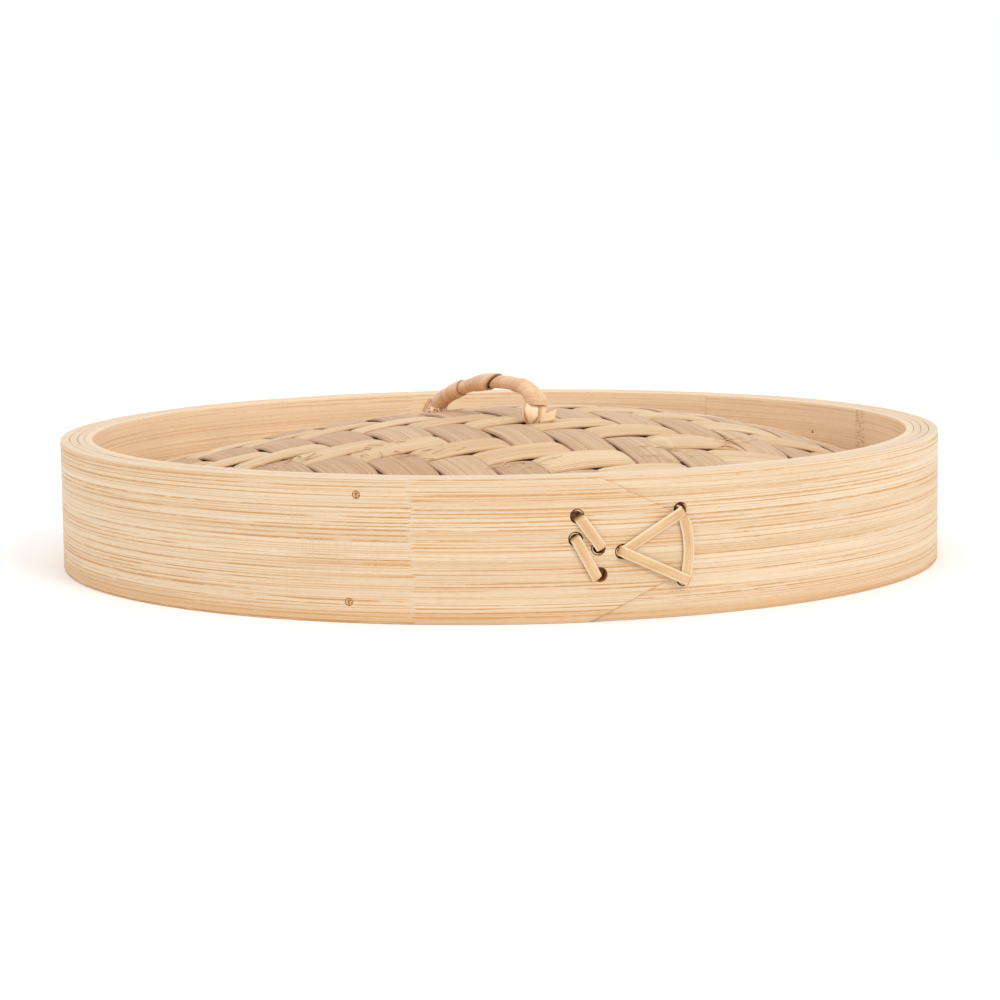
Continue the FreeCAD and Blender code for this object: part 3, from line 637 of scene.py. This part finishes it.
def pare_foot(piece):
    """Thins the second band's foot from inside, where a basket's rim slides in."""
    middle = SECOND_RADIUS - SECOND_THICKNESS / 2
    for vertex in piece.data.vertices:
        distance = hypot(vertex.co.x, vertex.co.y)
        if distance < middle * MM and vertex.co.z < SOCKET_DEPTH * MM:
            depth = smooth((SOCKET_DEPTH - vertex.co.z / MM) / SOCKET_LEAD) * SOCKET_PARING * MM
            vertex.co.x *= (distance + depth) / distance
            vertex.co.y *= (distance + depth) / distance


def build_hoop():
    band = band_material("band_bamboo_look", ring_joints(HOOP_RADIUS, 260.4, 388.0, 505.0, 620.4), 2.0,
                         srgb(227, 206, 178), srgb(213, 183, 145), srgb(203, 144, 74), srgb(219, 198, 173),
                         chatter_at=radians(610.5) * HOOP_RADIUS)
    second = band_material("second_band_look", ring_joints(SECOND_RADIUS, 120.0, 300.0), 9.0,
                           srgb(226, 200, 166), srgb(214, 181, 140), srgb(192, 140, 88), srgb(218, 196, 170))
    face = band_material("ring_bamboo_look", ring_joints(FACE_RADIUS, 105.0, 198.0, 285.0, 380.0), 17.0,
                         srgb(240, 217, 184), srgb(232, 204, 167), srgb(212, 162, 108), srgb(221, 199, 172),
                         contrast=0.5, scar_at=radians(380.0) * FACE_RADIUS)
    outer_band(band)
    base = bent_ring("second_band", second, "band_bamboo", SECOND_RADIUS - SECOND_THICKNESS, SECOND_RADIUS,
                     0.0, HOOP_HEIGHT, 40.0, 24, 21)
    pare_foot(base)
    holes = [(*spot, HOLE_RADIUS) for spot in LACING_HOLES.values()]
    drill(base, holes, PACKING_RADIUS - 1.0, lambda angle, radius: angle)
    for level, packing_seed, seam, face_seed in (("upper", 31, 55.0, 51), ("lower", 41, 120.0, 61)):
        node = f"{level}_packing_ring"
        bent_ring(node, second, "ring_bamboo", PACKING_RADIUS - PACKING_THICKNESS, PACKING_RADIUS,
                  *heights_of(node), 105.5, 5, packing_seed)
        node = f"{level}_face_ring"
        bent_ring(node, face, "ring_bamboo", FACE_INNER, FACE_RADIUS, *heights_of(node), seam, 8, face_seed)


# ---- the woven mats ----

def cover_height(x, y):
    """The height of the dome's upper surface; it is level where the rings clamp it."""
    reach = min(1.0, (x * x + y * y) / FACE_INNER ** 2)
    return COVER_EDGE + COVER_RISE * (1 - reach) * (1 + COVER_LEAN * x / FACE_INNER)


def float_lift(position, crossings, pitch, extras):
    """How a strip stands off its mat's middle at a distance along it.

    Returns the side it is on, its lift there as a share, how far through the float it is, and that
    float's own extra height.
    """
    index = int(round((position - crossings[0][0]) / pitch))
    index = min(len(crossings) - 1, max(0, index))
    side = crossings[index][1]
    first = last = index
    while first > 0 and crossings[first - 1][1] == side:
        first -= 1
    while last < len(crossings) - 1 and crossings[last + 1][1] == side:
        last += 1
    begin = crossings[first][0] - pitch / 2
    end = crossings[last][0] + pitch / 2
    rise = 0.23 * pitch
    lift = min(1.0, max(0.0, min(position - begin, end - position) / rise))
    through = min(1.0, max(0.0, (position - begin) / (end - begin)))
    return side, sin(lift * pi / 2), through, extras[first % len(extras)]


ACROSS = (-0.5, -0.494, -0.47, -0.41, -0.28, -0.12, 0.04, 0.2, 0.34, 0.44, 0.482, 0.497, 0.5)


def strip_height(station, across_share, lift_amount, clamp):
    """A strip's middle height over the mat's middle: its float, its camber and its own twist."""
    side, lift, through, extra = station
    height = side * lift * lift_amount
    if side > 0:
        height += sin(through * pi) ** 2 * (0.1 + 0.45 * extra)
    camber = 0.3 * (1 - (2 * across_share) ** 2)
    return clamp * (height + camber)


def woven_strip(turn, offset, width, pitch, crossings, drop, thickness, seed, step):
    """One strip's vertex loops: a slightly cambered, thin-edged split that goes over and under."""
    rng = random.Random(seed)
    extras = [rng.uniform(0.0, 1.0) for _ in range(9)]
    flange = FACE_INNER + 2.6
    near = max(offset - width / 2, -flange + 1.0)
    far = min(offset + width / 2, flange - 1.0)
    middle = (near + far) / 2
    half = (far - near) / 2
    closest = 0.0 if near < 0 < far else min(abs(near), abs(far))
    reach = sqrt(flange ** 2 - closest ** 2)
    count = int(2 * reach / step)
    rings, grain, rims = [], [], []
    for station in range(count + 1):
        along = -reach + 2 * reach * station / count
        lift = float_lift(along, crossings, pitch, extras)
        slide = wander(seed, along * 0.03, 0.25)
        narrow = 1.0 + wander(seed + 0.5, along * 0.05, 0.025)
        tilt = wander(seed + 0.7, along * 0.045, 0.06)
        top, bottom = [], []
        for share in ACROSS:
            nibble = wander(seed + share * 9, along * 0.6, 0.10) if abs(share) > 0.45 else 0.0
            across = middle + slide + 2 * half * narrow * share + nibble
            across = min(max(across, -flange + 0.5), flange - 0.5)
            allowed = sqrt(max(0.0, flange ** 2 - across ** 2))
            here = min(max(along, -allowed), allowed)
            point = polar(here, turn) + polar(across, turn + 90)
            distance = hypot(point.x, point.y)
            clamp = 1.0 - 0.5 * smooth((distance - FACE_INNER + 7.0) / 7.0)
            base = cover_height(point.x, point.y) - drop + strip_height(lift, share, FLOAT_LIFT, clamp)
            base += clamp * tilt * (across - middle)
            edge = (1 - abs(2 * share) ** 10) ** 0.5
            for face, marks in ((1, top), (-1, bottom)):
                vertex = point.copy()
                vertex.z = base + face * edge * thickness / 2
                # rim marks each edge of the strip, where its material lays a painted shade line.
                rim = smooth((abs(share) - 0.455) / 0.03)
                marks.append((vertex, (along, across, face * thickness), rim))
        ring, marks, edges = zip(*top, *bottom[-2:0:-1])
        rings.append(ring)
        grain += marks
        rims += edges
    return (rings, grain, rims), rng.random()


def strip_offsets(pitch, first):
    reach = FACE_INNER - 2.0
    count = int(reach / pitch) + 2
    places = range(-count, count + 1)
    return [(spot, first + spot * pitch) for spot in places if abs(first + spot * pitch) - pitch / 2 < reach]


def second_on_top(first_place, second_place):
    return (first_place + second_place) % 4 in (0, 3)


def twill(turn, pitch, first_start, second_start):
    """Direction, offset and crossings of each strip in both sets of a twill mat."""
    firsts = strip_offsets(pitch, first_start)
    seconds = strip_offsets(pitch, second_start)
    first_set = [(turn, offset, [(distance, -1 if second_on_top(spot, other) else 1)
                                 for other, distance in seconds]) for spot, offset in firsts]
    second_set = [(turn + 90, -offset, [(distance, 1 if second_on_top(other, spot) else -1)
                                        for other, distance in firsts]) for spot, offset in seconds]
    return first_set, second_set


def splinters(turn, offset, place, count, seed):
    """Fine broken fibres that lift from a strip near a place along it."""
    rng = random.Random(seed)
    parts = []
    for _ in range(count):
        along = place + rng.uniform(-7.0, 7.0)
        across = offset + rng.uniform(-6.4, 6.4)
        heading = turn + rng.choice((0, 180)) + rng.gauss(0.0, 22.0)
        length = rng.uniform(1.8, 6.0)
        high = rng.uniform(0.2, 0.8)
        start = polar(along, turn) + polar(across, turn + 90)
        points = []
        for share, climb in ((0.0, 0.0), (0.3, 0.5), (0.65, 0.9), (1.0, rng.uniform(0.6, 1.4))):
            point = start + polar(length * share, heading + 12.0 * share)
            point.z = cover_height(point.x, point.y) - 0.15 + high * climb
            points.append(point)
        rings, grain, rims = strap(points, [UP, UP], rng.uniform(0.2, 0.5), 0.14, widths=(1.0, 0.8, 0.3))
        parts.append((rings, grain, [0.0] * len(rims)))
    return parts


def build_cover(light_material, dark_material):
    light, dark = twill(COVER_TURN, COVER_PITCH, LIGHT_MIDDLE, DARK_MIDDLE)
    for shade, members, material in (("light", light, light_material), ("dark", dark, dark_material)):
        for number, (turn, offset, crossings) in enumerate(members, start=1):
            seed = number + (100 if shade == "dark" else 0)
            strip, tone = woven_strip(turn, offset, COVER_WIDTH, COVER_PITCH, crossings, MAT_DEPTH / 2,
                                      COVER_THICKNESS, seed, 0.9)
            parts = [strip]
            for set_name, middle, distance, count in FRAYS:
                if set_name == shade and abs(middle - offset) < 1.0:
                    parts += splinters(turn, offset, distance, count, seed + distance)
            sweep_piece(f"cover_{shade}_strip_{number:02d}", parts, material, f"{shade}_strip_bamboo",
                        [tone] * len(parts), sharp_angle=70, spread=0.0)


def build_lining(material):
    sets = twill(LINING_TURN, LINING_PITCH, 0.0, 0.0)
    drop = 1.5 * MAT_DEPTH + MAT_GAP + 0.3
    for node, members in zip(("lining_long_strips", "lining_cross_strips"), sets):
        strips = []
        for number, (turn, offset, crossings) in enumerate(members):
            seed = 200 + number + (50 if node == "lining_cross_strips" else 0)
            strips.append(woven_strip(turn, offset, LINING_WIDTH, LINING_PITCH, crossings, drop,
                                      LINING_THICKNESS, seed, 1.8))
        parts, tones = zip(*strips)
        sweep_piece(node, parts, material, "lining_bamboo", tones, sharp_angle=70, spread=0.0)


# ---- flat cane along a route ----

def smooth_path(points, step):
    """A Catmull-Rom curve through points, sampled about every step millimetres."""
    points = [Vector(point) for point in points]
    padded = [2 * points[0] - points[1]] + points + [2 * points[-1] - points[-2]]
    path = []
    for index in range(1, len(padded) - 2):
        before, start, end, after = padded[index - 1:index + 3]
        pieces = max(2, int((end - start).length / step))
        for piece in range(pieces):
            share = piece / pieces
            path.append(0.5 * ((2 * start) + (end - before) * share
                               + (2 * before - 5 * start + 4 * end - after) * share ** 2
                               + (3 * start - before - 3 * end + after) * share ** 3))
    path.append(padded[-2])
    return path


def heading(path, index):
    """Which way a path runs at one of its points."""
    return path[min(len(path) - 1, index + 1)] - path[max(0, index - 1)]


def read_at(values, share):
    """What a few evenly spaced values come to at a share of the way through them."""
    position = share * (len(values) - 1)
    low = min(len(values) - 2, int(position))
    return values[low] + (values[low + 1] - values[low]) * (position - low)


def flat_cane(path, facings, width, thickness, crown=0.25, widths=(1.0, 1.0), cup=0.0, skew=0.0):
    """Vertex loops of a flat, slightly crowned cane; facings are its outward directions.

    widths scales the width at even steps along the path, cup bends both faces across the width by
    that many millimetres, and skew slants its ends.
    """
    travelled = 0.0
    rings, grain, rims = [], [], []
    for index, point in enumerate(path):
        along = heading(path, index).normalized()
        travelled += (point - path[max(0, index - 1)]).length
        up = facings[index] - along * facings[index].dot(along)
        up.normalize()
        side = along.cross(up)
        scale = read_at(widths, index / (len(path) - 1))
        ring = []
        for face, shares in ((1, ACROSS), (-1, ACROSS[-2:0:-1])):
            for share in shares:
                edge = (1 - abs(2 * share) ** 8) ** 0.5
                arch = 1 - (2 * share) ** 2
                height = face * edge * thickness / 2 + cup * scale * arch
                if face > 0:
                    height += crown * thickness * arch
                ring.append(point + side * share * width * scale + along * share * skew + up * height)
                grain.append((travelled, share * width * scale, face))
                rims.append(smooth((abs(share) - 0.34) / 0.12))
        rings.append(ring)
    return rings, grain, rims


# ---- lacing and pegs ----

def stitch(start, end, width, rise=0.7, bow=0.0, turns=(0.6, 0.6), lifts=(0.0, 0.0), shifts=(0.0, 0.0)):
    """Flat cane out of one lacing hole, over the band and into another.

    turns says how far short of each hole's middle the cane turns in (less than nothing for past
    it), lifts how far each end stands off, to pass over another stitch, and shifts how far each end
    lies beside its hole's middle.
    """
    angles, heights = zip(LACING_HOLES[start], LACING_HOLES[end])
    run = radians(angles[1] - angles[0]) * HOOP_RADIUS
    climb = heights[1] - heights[0]
    length = hypot(run, climb)
    profile = []
    ends = ((turns[0], 1, lifts[0], 0.36), (length - turns[1], -1, lifts[1], 0.64))
    for hole, inward, lift, middle in ends:
        half = [(hole, -4.4, 0.0), (hole, -1.4, 0.0), (hole + inward * 0.15, -0.1, lift),
                (hole + inward * 0.5, 0.5, lift), (hole + inward * 1.4, rise, lift),
                (middle * length, rise, 0.4 * lift)]
        profile += half[::inward]
    points = []
    for distance, height, lift in profile:
        share = distance / length
        held = min(1.0, max(0.0, share))
        aside = shifts[0] + (shifts[1] - shifts[0]) * held
        bulge = bow * sin(pi * held)
        angle = angles[0] + (angles[1] - angles[0]) * share
        angle += degrees((bulge - aside * climb / length) / HOOP_RADIUS)
        points.append(polar(HOOP_RADIUS + height + lift, angle,
                            heights[0] + climb * share + aside * run / length))
    path = smooth_path(points, 0.3)
    begin, finish = (polar(HOOP_RADIUS, *place) for place in zip(angles, heights))
    side = polar(1.0, sum(angles) / 2).cross(finish - begin).normalized()
    facings = [heading(path, index).cross(side).normalized() for index in range(len(path))]
    return flat_cane(path, facings, width, 0.7, crown=0.2)


def hole_shaving(letter, start, end, width):
    """A thin curl of cane that hugs a lacing hole's wall between two directions round the hole."""
    angle, height = LACING_HOLES[letter]
    points, facings = [], []
    for turn in np.linspace(start, end, 7):
        spoke = around(angle, radians(turn))
        points.append(polar(HOOP_RADIUS - 0.25, angle, height) + spoke * (HOLE_RADIUS - 0.42))
        facings.append(polar(1.0, angle) - spoke * 0.3)
    return strap(points, facings, width, 0.25, widths=(0.2, 1.0, 0.2))


def build_lacing(material):
    lap = [
        stitch("a", "c", 2.9, turns=(0.9, -0.5), shifts=(0.2, 0.7)),
        stitch("b", "d", 2.8, turns=(-0.2, -0.4), shifts=(0.0, -1.2)),
        hole_shaving("c", 150, 300, 0.5),
        hole_shaving("a", 20, 110, 0.4),
        hole_shaving("b", 60, 170, 0.35),
    ]
    sweep_piece("lap_lacing", lap, material, "lacing_cane")
    tongue = [
        stitch("f", "g", 3.0, rise=0.6, bow=1.5, turns=(1.9, 0.6), shifts=(-0.3, 0.0)),
        stitch("e", "f", 2.7, turns=(0.5, 0.1), lifts=(0.0, 0.85)),
        stitch("e", "g", 2.7, turns=(-0.7, -0.9), lifts=(0.75, 0.85)),
        hole_shaving("f", -40, 70, 0.4),
        hole_shaving("g", 200, 290, 0.35),
        hole_shaving("e", 140, 230, 0.35),
    ]
    sweep_piece("tongue_lacing", tongue, material, "lacing_cane")


def peg(angle, height, start, seed, drop=0.0):
    """A round, tapered peg with a slightly broken, domed head; its inner tip lies drop lower."""
    sides = 20
    shoulder = HOOP_RADIUS - 2.5
    rings, grain, rims = [], [], []
    profile = ((start, 0.55), (shoulder, 0.98), (HOOP_RADIUS - 0.15, 1.0), (HOOP_RADIUS + 0.02, 0.92),
               (HOOP_RADIUS + 0.06, 0.7), (HOOP_RADIUS + 0.02, 0.35), (HOOP_RADIUS - 0.03, 0.08))
    for distance, share in profile:
        level = height - drop * max(0.0, shoulder - distance) / (shoulder - start)
        reach = PEG_RADIUS * share
        ring = []
        for side in range(sides):
            turn = tau * side / sides
            rough = 1 + wander(seed, 2.0 * side / sides, 0.12)
            depth = wander(seed + 3, 3.0 * side / sides + share, 0.12) if share < 0.9 else 0.0
            ring.append(polar(distance + depth, angle, level) + around(angle, turn) * reach * rough)
            grain.append((reach * cos(turn) + seed, reach * sin(turn), 0.0))
            rims.append(1.0 if share > 0.9 else 0.0)
        rings.append(ring)
    return rings, grain, rims


def build_pegs(material):
    """One upper peg slants down, and its tip comes through the inner face of the hoop."""
    upper = []
    for number, (angle, height) in enumerate(UPPER_PEGS):
        shows = angle == SHOWING_PEG
        start = FACE_INNER + (-0.12 if shows else 0.3)
        upper.append(peg(angle, height, start, number + 3.0, drop=5.0 if shows else 0.0))
    lower = [peg(angle, height, SECOND_RADIUS - SECOND_THICKNESS + SOCKET_PARING, number + 3.0)
             for number, (angle, height) in enumerate(LOWER_PEGS)]
    sweep_piece("upper_pegs", upper, material, "peg_bamboo")
    sweep_piece("lower_pegs", lower, material, "peg_bamboo")


# ---- the handle ----

HANDLE_MIDDLE = Vector((-3.3, -5.5, 0.0))
HANDLE_TURN = -56.0
HANDLE_FRONT = 23.7
HANDLE_REAR = -26.5
HANDLE_CROWN = 9.0
HANDLE_HEIGHT = 51.2
ARCH_RADIUS = 80.0
FRONT_BEND = 7.0
REAR_BEND = 4.0


def arc(middle_x, middle_y, radius, start, end, shares):
    """Points of a flat arc at some shares of the way between two angles in radians."""
    angles = [start + (end - start) * share for share in shares]
    return [(middle_x + radius * cos(angle), middle_y + radius * sin(angle)) for angle in angles]


def handle_line():
    """The arch's middle line from the front foot to the rear foot, as 3-D points, with the upright
    plane's normal."""
    arch_base = HANDLE_HEIGHT - ARCH_RADIUS
    front_x = HANDLE_FRONT - FRONT_BEND
    rear_x = HANDLE_REAR + REAR_BEND
    front_lean = acos((front_x - HANDLE_CROWN) / (ARCH_RADIUS - FRONT_BEND))
    rear_lean = acos((rear_x - HANDLE_CROWN) / (ARCH_RADIUS - REAR_BEND))
    front_y = arch_base + (ARCH_RADIUS - FRONT_BEND) * sin(front_lean)
    rear_y = arch_base + (ARCH_RADIUS - REAR_BEND) * sin(rear_lean)
    flat = [(HANDLE_FRONT, front_y - drop) for drop in np.arange(3.0, 0.0, -0.5)]
    flat += arc(front_x, front_y, FRONT_BEND, 0.0, front_lean, np.linspace(0, 1, 14))
    flat += arc(HANDLE_CROWN, arch_base, ARCH_RADIUS, front_lean, rear_lean, np.linspace(0.02, 0.98, 50))
    flat += arc(rear_x, rear_y, REAR_BEND, rear_lean, pi, np.linspace(0, 1, 12))
    points = [HANDLE_MIDDLE + polar(distance, HANDLE_TURN, height) for distance, height in flat]
    return points, polar(1.0, HANDLE_TURN + 90)


def resample(points, step):
    """The same line with even spacing, and its length."""
    lengths = [0.0]
    for before, after in zip(points, points[1:]):
        lengths.append(lengths[-1] + (after - before).length)
    total = lengths[-1]
    count = int(total / step)
    result = []
    index = 0
    for number in range(count + 1):
        target = total * number / count
        while index < len(lengths) - 2 and lengths[index + 1] < target:
            index += 1
        span = lengths[index + 1] - lengths[index]
        share = (target - lengths[index]) / span if span else 0.0
        result.append(points[index].lerp(points[index + 1], share))
    return result, total


# The handle's turns of wide cane, rear to front: where each turn's rear and front edges are, as
# distances along the handle from its middle, the radius at each edge, and how far ahead of the
# edge's middle its top is.
WRAP_TURNS = (
    (-40.0, -19.8, 2.65, 2.2, 0.0, 0.4),
    (-21.6, -12.4, 2.3, 2.3, 0.4, 0.5),
    (-13.6, -4.8, 1.9, 1.9, 0.0, 0.0),
    (-6.3, 3.9, 2.3, 2.5, 0.4, 2.6),
    (4.4, 17.5, 1.9, 1.7, 2.0, 0.6),
    (15.3, 40.0, 2.2, 3.5, 1.5, 0.8),
)
SKIRT_DROP = 5.2
SKIRT_LEAN = Vector((1.4, -0.9, 0.0))


def arc_at(line, reach, step):
    """How far along the handle's line, from its front end, a distance from the middle lies."""
    direction = polar(1.0, HANDLE_TURN)
    for index, point in enumerate(line):
        if (point - HANDLE_MIDDLE).dot(direction) <= reach:
            return index * step
    return (len(line) - 1) * step


def handle_wrap(line, normal, total):
    """Turns of wide, flat cane; each is a sleeve whose open edge stands over or under the next."""
    step = total / (len(line) - 1)
    sides = 40
    parts = []
    for number, (rear, front, rear_radius, front_radius, rear_slant, front_slant) in enumerate(WRAP_TURNS):
        rear_arc = arc_at(line, rear, step)
        front_arc = max(arc_at(line, front, step), SKIRT_DROP)
        last = number == len(WRAP_TURNS) - 1
        rings, grain, rims = [], [], []
        profile = [(share, 1) for share in np.linspace(0, 1, 15)]
        profile += [(share, -1) for share in (1.0, 0.6, 0.2, 0.0)]
        for share, face in profile:
            ring = []
            for side in range(sides):
                turn = tau * side / sides
                slant = (rear_slant * (1 - share) + front_slant * share) * cos(turn)
                position = rear_arc + (front_arc - rear_arc) * share - slant
                position = min(max(position, 0.0), total - 0.01)
                index = min(len(line) - 2, int(position / step))
                center = line[index].lerp(line[index + 1], position / step - index)
                if last:
                    center = center + SKIRT_LEAN * share ** 2
                tangent = (line[index + 1] - line[index]).normalized()
                up = normal.cross(tangent).normalized()
                radius = rear_radius + (front_radius - rear_radius) * (share ** 3 if last else share)
                radius += 0.12 * sin(share * pi)
                radius += wander(number + 0.3, 1.3 * cos(turn) + share, 0.16)
                radius += wander(number + 5.3, 3.0 * sin(turn) + 2 * share, 0.08)
                edge = min(share, 1 - share)
                radius -= 0.16 * (1 - smooth(edge / 0.05))
                if face < 0:
                    radius -= 0.42
                spoke = up * cos(turn) + normal * sin(turn)
                ring.append(center + spoke * radius)
                grain.append((turn * 2.2 + 40.0 * number, share * 8.5, face))
                # Painted shade: the turns' edges and every sleeve's inner face are marked, and the wrap's
                # dark brown rim colour there stands for the shade under each edge and in the gaps between
                # turns; the skirt's front edge is left unmarked.
                rims.append(1.0 if edge < 0.02 and not (last and share > 0.5) or face < 0 else 0.0)
            rings.append(ring)
        parts.append((rings, grain, rims))
    return parts


def strap(points, facings, width, thickness, widths=(1.0, 1.0), cup=0.0, skew=0.0):
    """A short flat strip of cane through a few points, each with its outward direction."""
    path = smooth_path(points, 0.4)
    turned = [read_at(facings, index / (len(path) - 1)).normalized() for index in range(len(path))]
    return flat_cane(path, turned, width, thickness, widths=widths, cup=cup, skew=skew)


def build_handle(material, binding_material, core_material):
    """The wrap and both bindings; the frame's own core, seen from below, gets a look of its own."""
    points, normal = handle_line()
    line, total = resample(points, 0.4)
    sweep_piece("handle_wrap", handle_wrap(line, normal, total), material, "handle_cane", sharp_angle=50,
                spread=0.0, closed=True)
    build_front_binding(binding_material)
    build_rear_binding(binding_material)
    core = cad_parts["handle_core"]
    core.data.materials.clear()
    core.data.materials.append(core_material)


def build_front_binding(material):
    """The front foot: leaf-shaped ends of cane that narrow into the weave, and a cut tail to +X."""
    tip = Vector((8.9, -26.6, 0.0))
    tip.z = cover_height(tip.x, tip.y) - 0.8
    lean = Vector((0.25, 0.30, 1.0))
    parts = []
    blades = (
        (25, 2.5, 7.0, 4.6),
        (95, 2.2, 7.0, 4.8),
        (155, 2.1, 7.0, 4.4),
        (-168, 2.3, 7.0, 4.2),
        (-28, 2.9, 7.0, 4.8),
        (-98, 2.6, 6.4, 5.8),
    )
    for turn, spread, top, width in blades:
        out = polar(1.0, turn)
        points = []
        facings = []
        for share, wide, tilt in ((0.0, 0.1, -1.0), (0.14, 0.5, -0.7), (0.34, 0.92, -0.25), (0.6, 0.95, 0.1),
                                  (1.0, 0.55, 0.5)):
            points.append(tip + lean * top * share + out * spread * wide)
            facings.append(out + UP * tilt)
        parts.append(strap(points, facings, width, 0.45, widths=(0.08, 0.5, 0.95, 1.0, 0.9), cup=0.9))
    root = tip + Vector((3.2, -0.9, 1.9))
    reach = Vector((1.0, -0.1, 0.24))
    facing = Vector((0.12, -1.0, 0.35))
    tail = [root, root + reach * 2.2, root + reach * 4.0]
    parts.append(strap(tail, [facing, facing, facing], 3.4, 0.7, widths=(0.85, 1.0, 1.1), skew=-2.0))
    sweep_piece("handle_front_binding", parts, material, "handle_cane")


def build_rear_binding(material):
    """The rear foot: a low collar of cane, a brown end bent down, and pale curled shavings."""
    base = HANDLE_MIDDLE + polar(HANDLE_REAR, HANDLE_TURN)
    base.z = cover_height(base.x, base.y) - 0.6
    rng = random.Random(12)
    parts = []
    for turn in range(0, 360, 60):
        out = polar(1.0, turn)
        points = [base + out * 2.5, base + out * 2.5 + UP * 1.0, base + out * 2.3 + UP * 2.2]
        parts.append(strap(points, [out, out, out + UP * 0.3], 3.2, 0.5))
    end = [base + Vector((-2.2, -0.9, 4.4)),
           base + Vector((-3.1, -1.3, 3.0)),
           base + Vector((-4.4, -1.6, 0.7))]
    rings, grain, rims = strap(end, [Vector((-0.4, -1, 0.3))] * 3, 1.3, 0.4, widths=(0.7, 1.0, 0.6))
    parts.append((rings, grain, [1.0] * len(rims)))
    for number in range(9):
        turn = 170 + number * 17 + rng.uniform(-6, 6)
        out = polar(1.0, turn)
        aside = polar(1.0, turn + rng.choice((-70, 70)))
        reach = rng.uniform(1.6, 3.4)
        high = rng.uniform(0.9, 2.2)
        points = [base + out * 2.0 + UP * 0.9, base + out * (2.0 + reach * 0.6) + UP * high,
                  base + out * (2.0 + reach) + aside * rng.uniform(0.4, 2.0) + UP * rng.uniform(0.5, 1.2)]
        parts.append(strap(points, [UP, UP, UP + out], rng.uniform(0.35, 0.9), 0.2,
                           widths=(1.0, 0.9, 0.3)))
    sweep_piece("handle_rear_binding", parts, material, "handle_cane")


# ---- camera, light and floor ----

# The camera's place and the floor are in metres.
CAMERA_PLACE = (0.0, -0.834, 0.1213)
CAMERA_LENS = 103.1
CAMERA_DIP = 7.237
CAMERA_ROLL = -0.76


def build_camera():
    """A long lens, low in front, a little above the lid and very slightly rolled."""
    data = bpy.data.cameras.new("camera")
    data.lens = CAMERA_LENS
    data.sensor_width = 36.0
    camera = add_object("camera", data)
    tilt = Matrix.Rotation(radians(90 - CAMERA_DIP), 4, "X")
    roll = Matrix.Rotation(radians(CAMERA_ROLL), 4, "Z")
    camera.matrix_world = Matrix.Translation(CAMERA_PLACE) @ tilt @ roll
    bpy.context.scene.camera = camera


def sun(name, direction, power, spread):
    """A soft, distant light that shines along a direction."""
    data = bpy.data.lights.new(name, "SUN")
    data.energy = power
    data.angle = radians(spread)
    add_object(name, data).rotation_euler = Vector(direction).to_track_quat("-Z", "Y").to_euler()


def build_studio():
    """A white floor and surround with one broad light from the front right and a weaker one above."""
    mesh = bpy.data.meshes.new("floor")
    half = 8.0
    corners = [(-half, -half, 0), (half, -half, 0), (half, half, 0), (-half, half, 0)]
    mesh.from_pydata(corners, [], [(0, 1, 2, 3)])
    floor = add_object("floor", mesh)
    paint = bpy.data.materials.new("pale_floor")
    paint.use_nodes = True
    surface = paint.node_tree.nodes["Principled BSDF"]
    surface.inputs["Base Color"].default_value = (0.95, 0.95, 0.95, 1.0)
    surface.inputs["Roughness"].default_value = 0.9
    surface.inputs["Specular IOR Level"].default_value = 0.1
    mesh.materials.append(paint)
    world = bpy.data.worlds.new("studio")
    world.use_nodes = True
    world.node_tree.nodes["Background"].inputs["Color"].default_value = (1.0, 1.0, 1.0, 1.0)
    world.node_tree.nodes["Background"].inputs["Strength"].default_value = 1.0
    bpy.context.scene.world = world
    sun("key", (-0.55, 0.75, -0.75), 0.75, 14.0)
    sun("top", (0.15, 0.1, -1.0), 0.35, 40.0)
    bpy.context.scene.view_settings.view_transform = "Standard"


# ---- the whole lid ----

def build_lid():
    build_hoop()
    light = strip_material("light_strip_look", 3.0, srgb(225, 196, 158), srgb(210, 172, 128),
                           srgb(172, 121, 72), 0.42)
    dark = strip_material("dark_strip_look", 13.0, srgb(209, 175, 140), srgb(193, 154, 117),
                          srgb(148, 102, 66), 0.45)
    lining = strip_material("lining_strip_look", 23.0, srgb(226, 186, 136), srgb(208, 160, 110),
                            srgb(170, 118, 70), 0.5)
    build_cover(light, dark)
    build_lining(lining)
    lacing = cane_material("lacing_cane_look", 6.0, srgb(217, 179, 130), srgb(204, 161, 108),
                           srgb(178, 126, 74), srgb(246, 226, 190), 0.22, 0.9)
    # Its dark brown rim colour is painted shade along the wrap's turn edges and in their gaps.
    wrap = cane_material("handle_cane_look", 16.0, srgb(228, 187, 144), srgb(212, 164, 118),
                         srgb(172, 116, 72), srgb(128, 84, 50), 0.28, 0.5)
    binding = cane_material("binding_cane_look", 36.0, srgb(250, 227, 194), srgb(242, 208, 168),
                            srgb(206, 152, 100), srgb(190, 132, 82), 0.4, 0.2)
    core = cane_material("core_cane_look", 26.0, srgb(176, 130, 88), srgb(150, 106, 70),
                         srgb(110, 74, 46), srgb(150, 106, 70), 0.5, 0.0)
    build_lacing(lacing)
    build_pegs(peg_material())
    build_handle(wrap, binding, core)


build_camera()
build_studio()
build_lid()
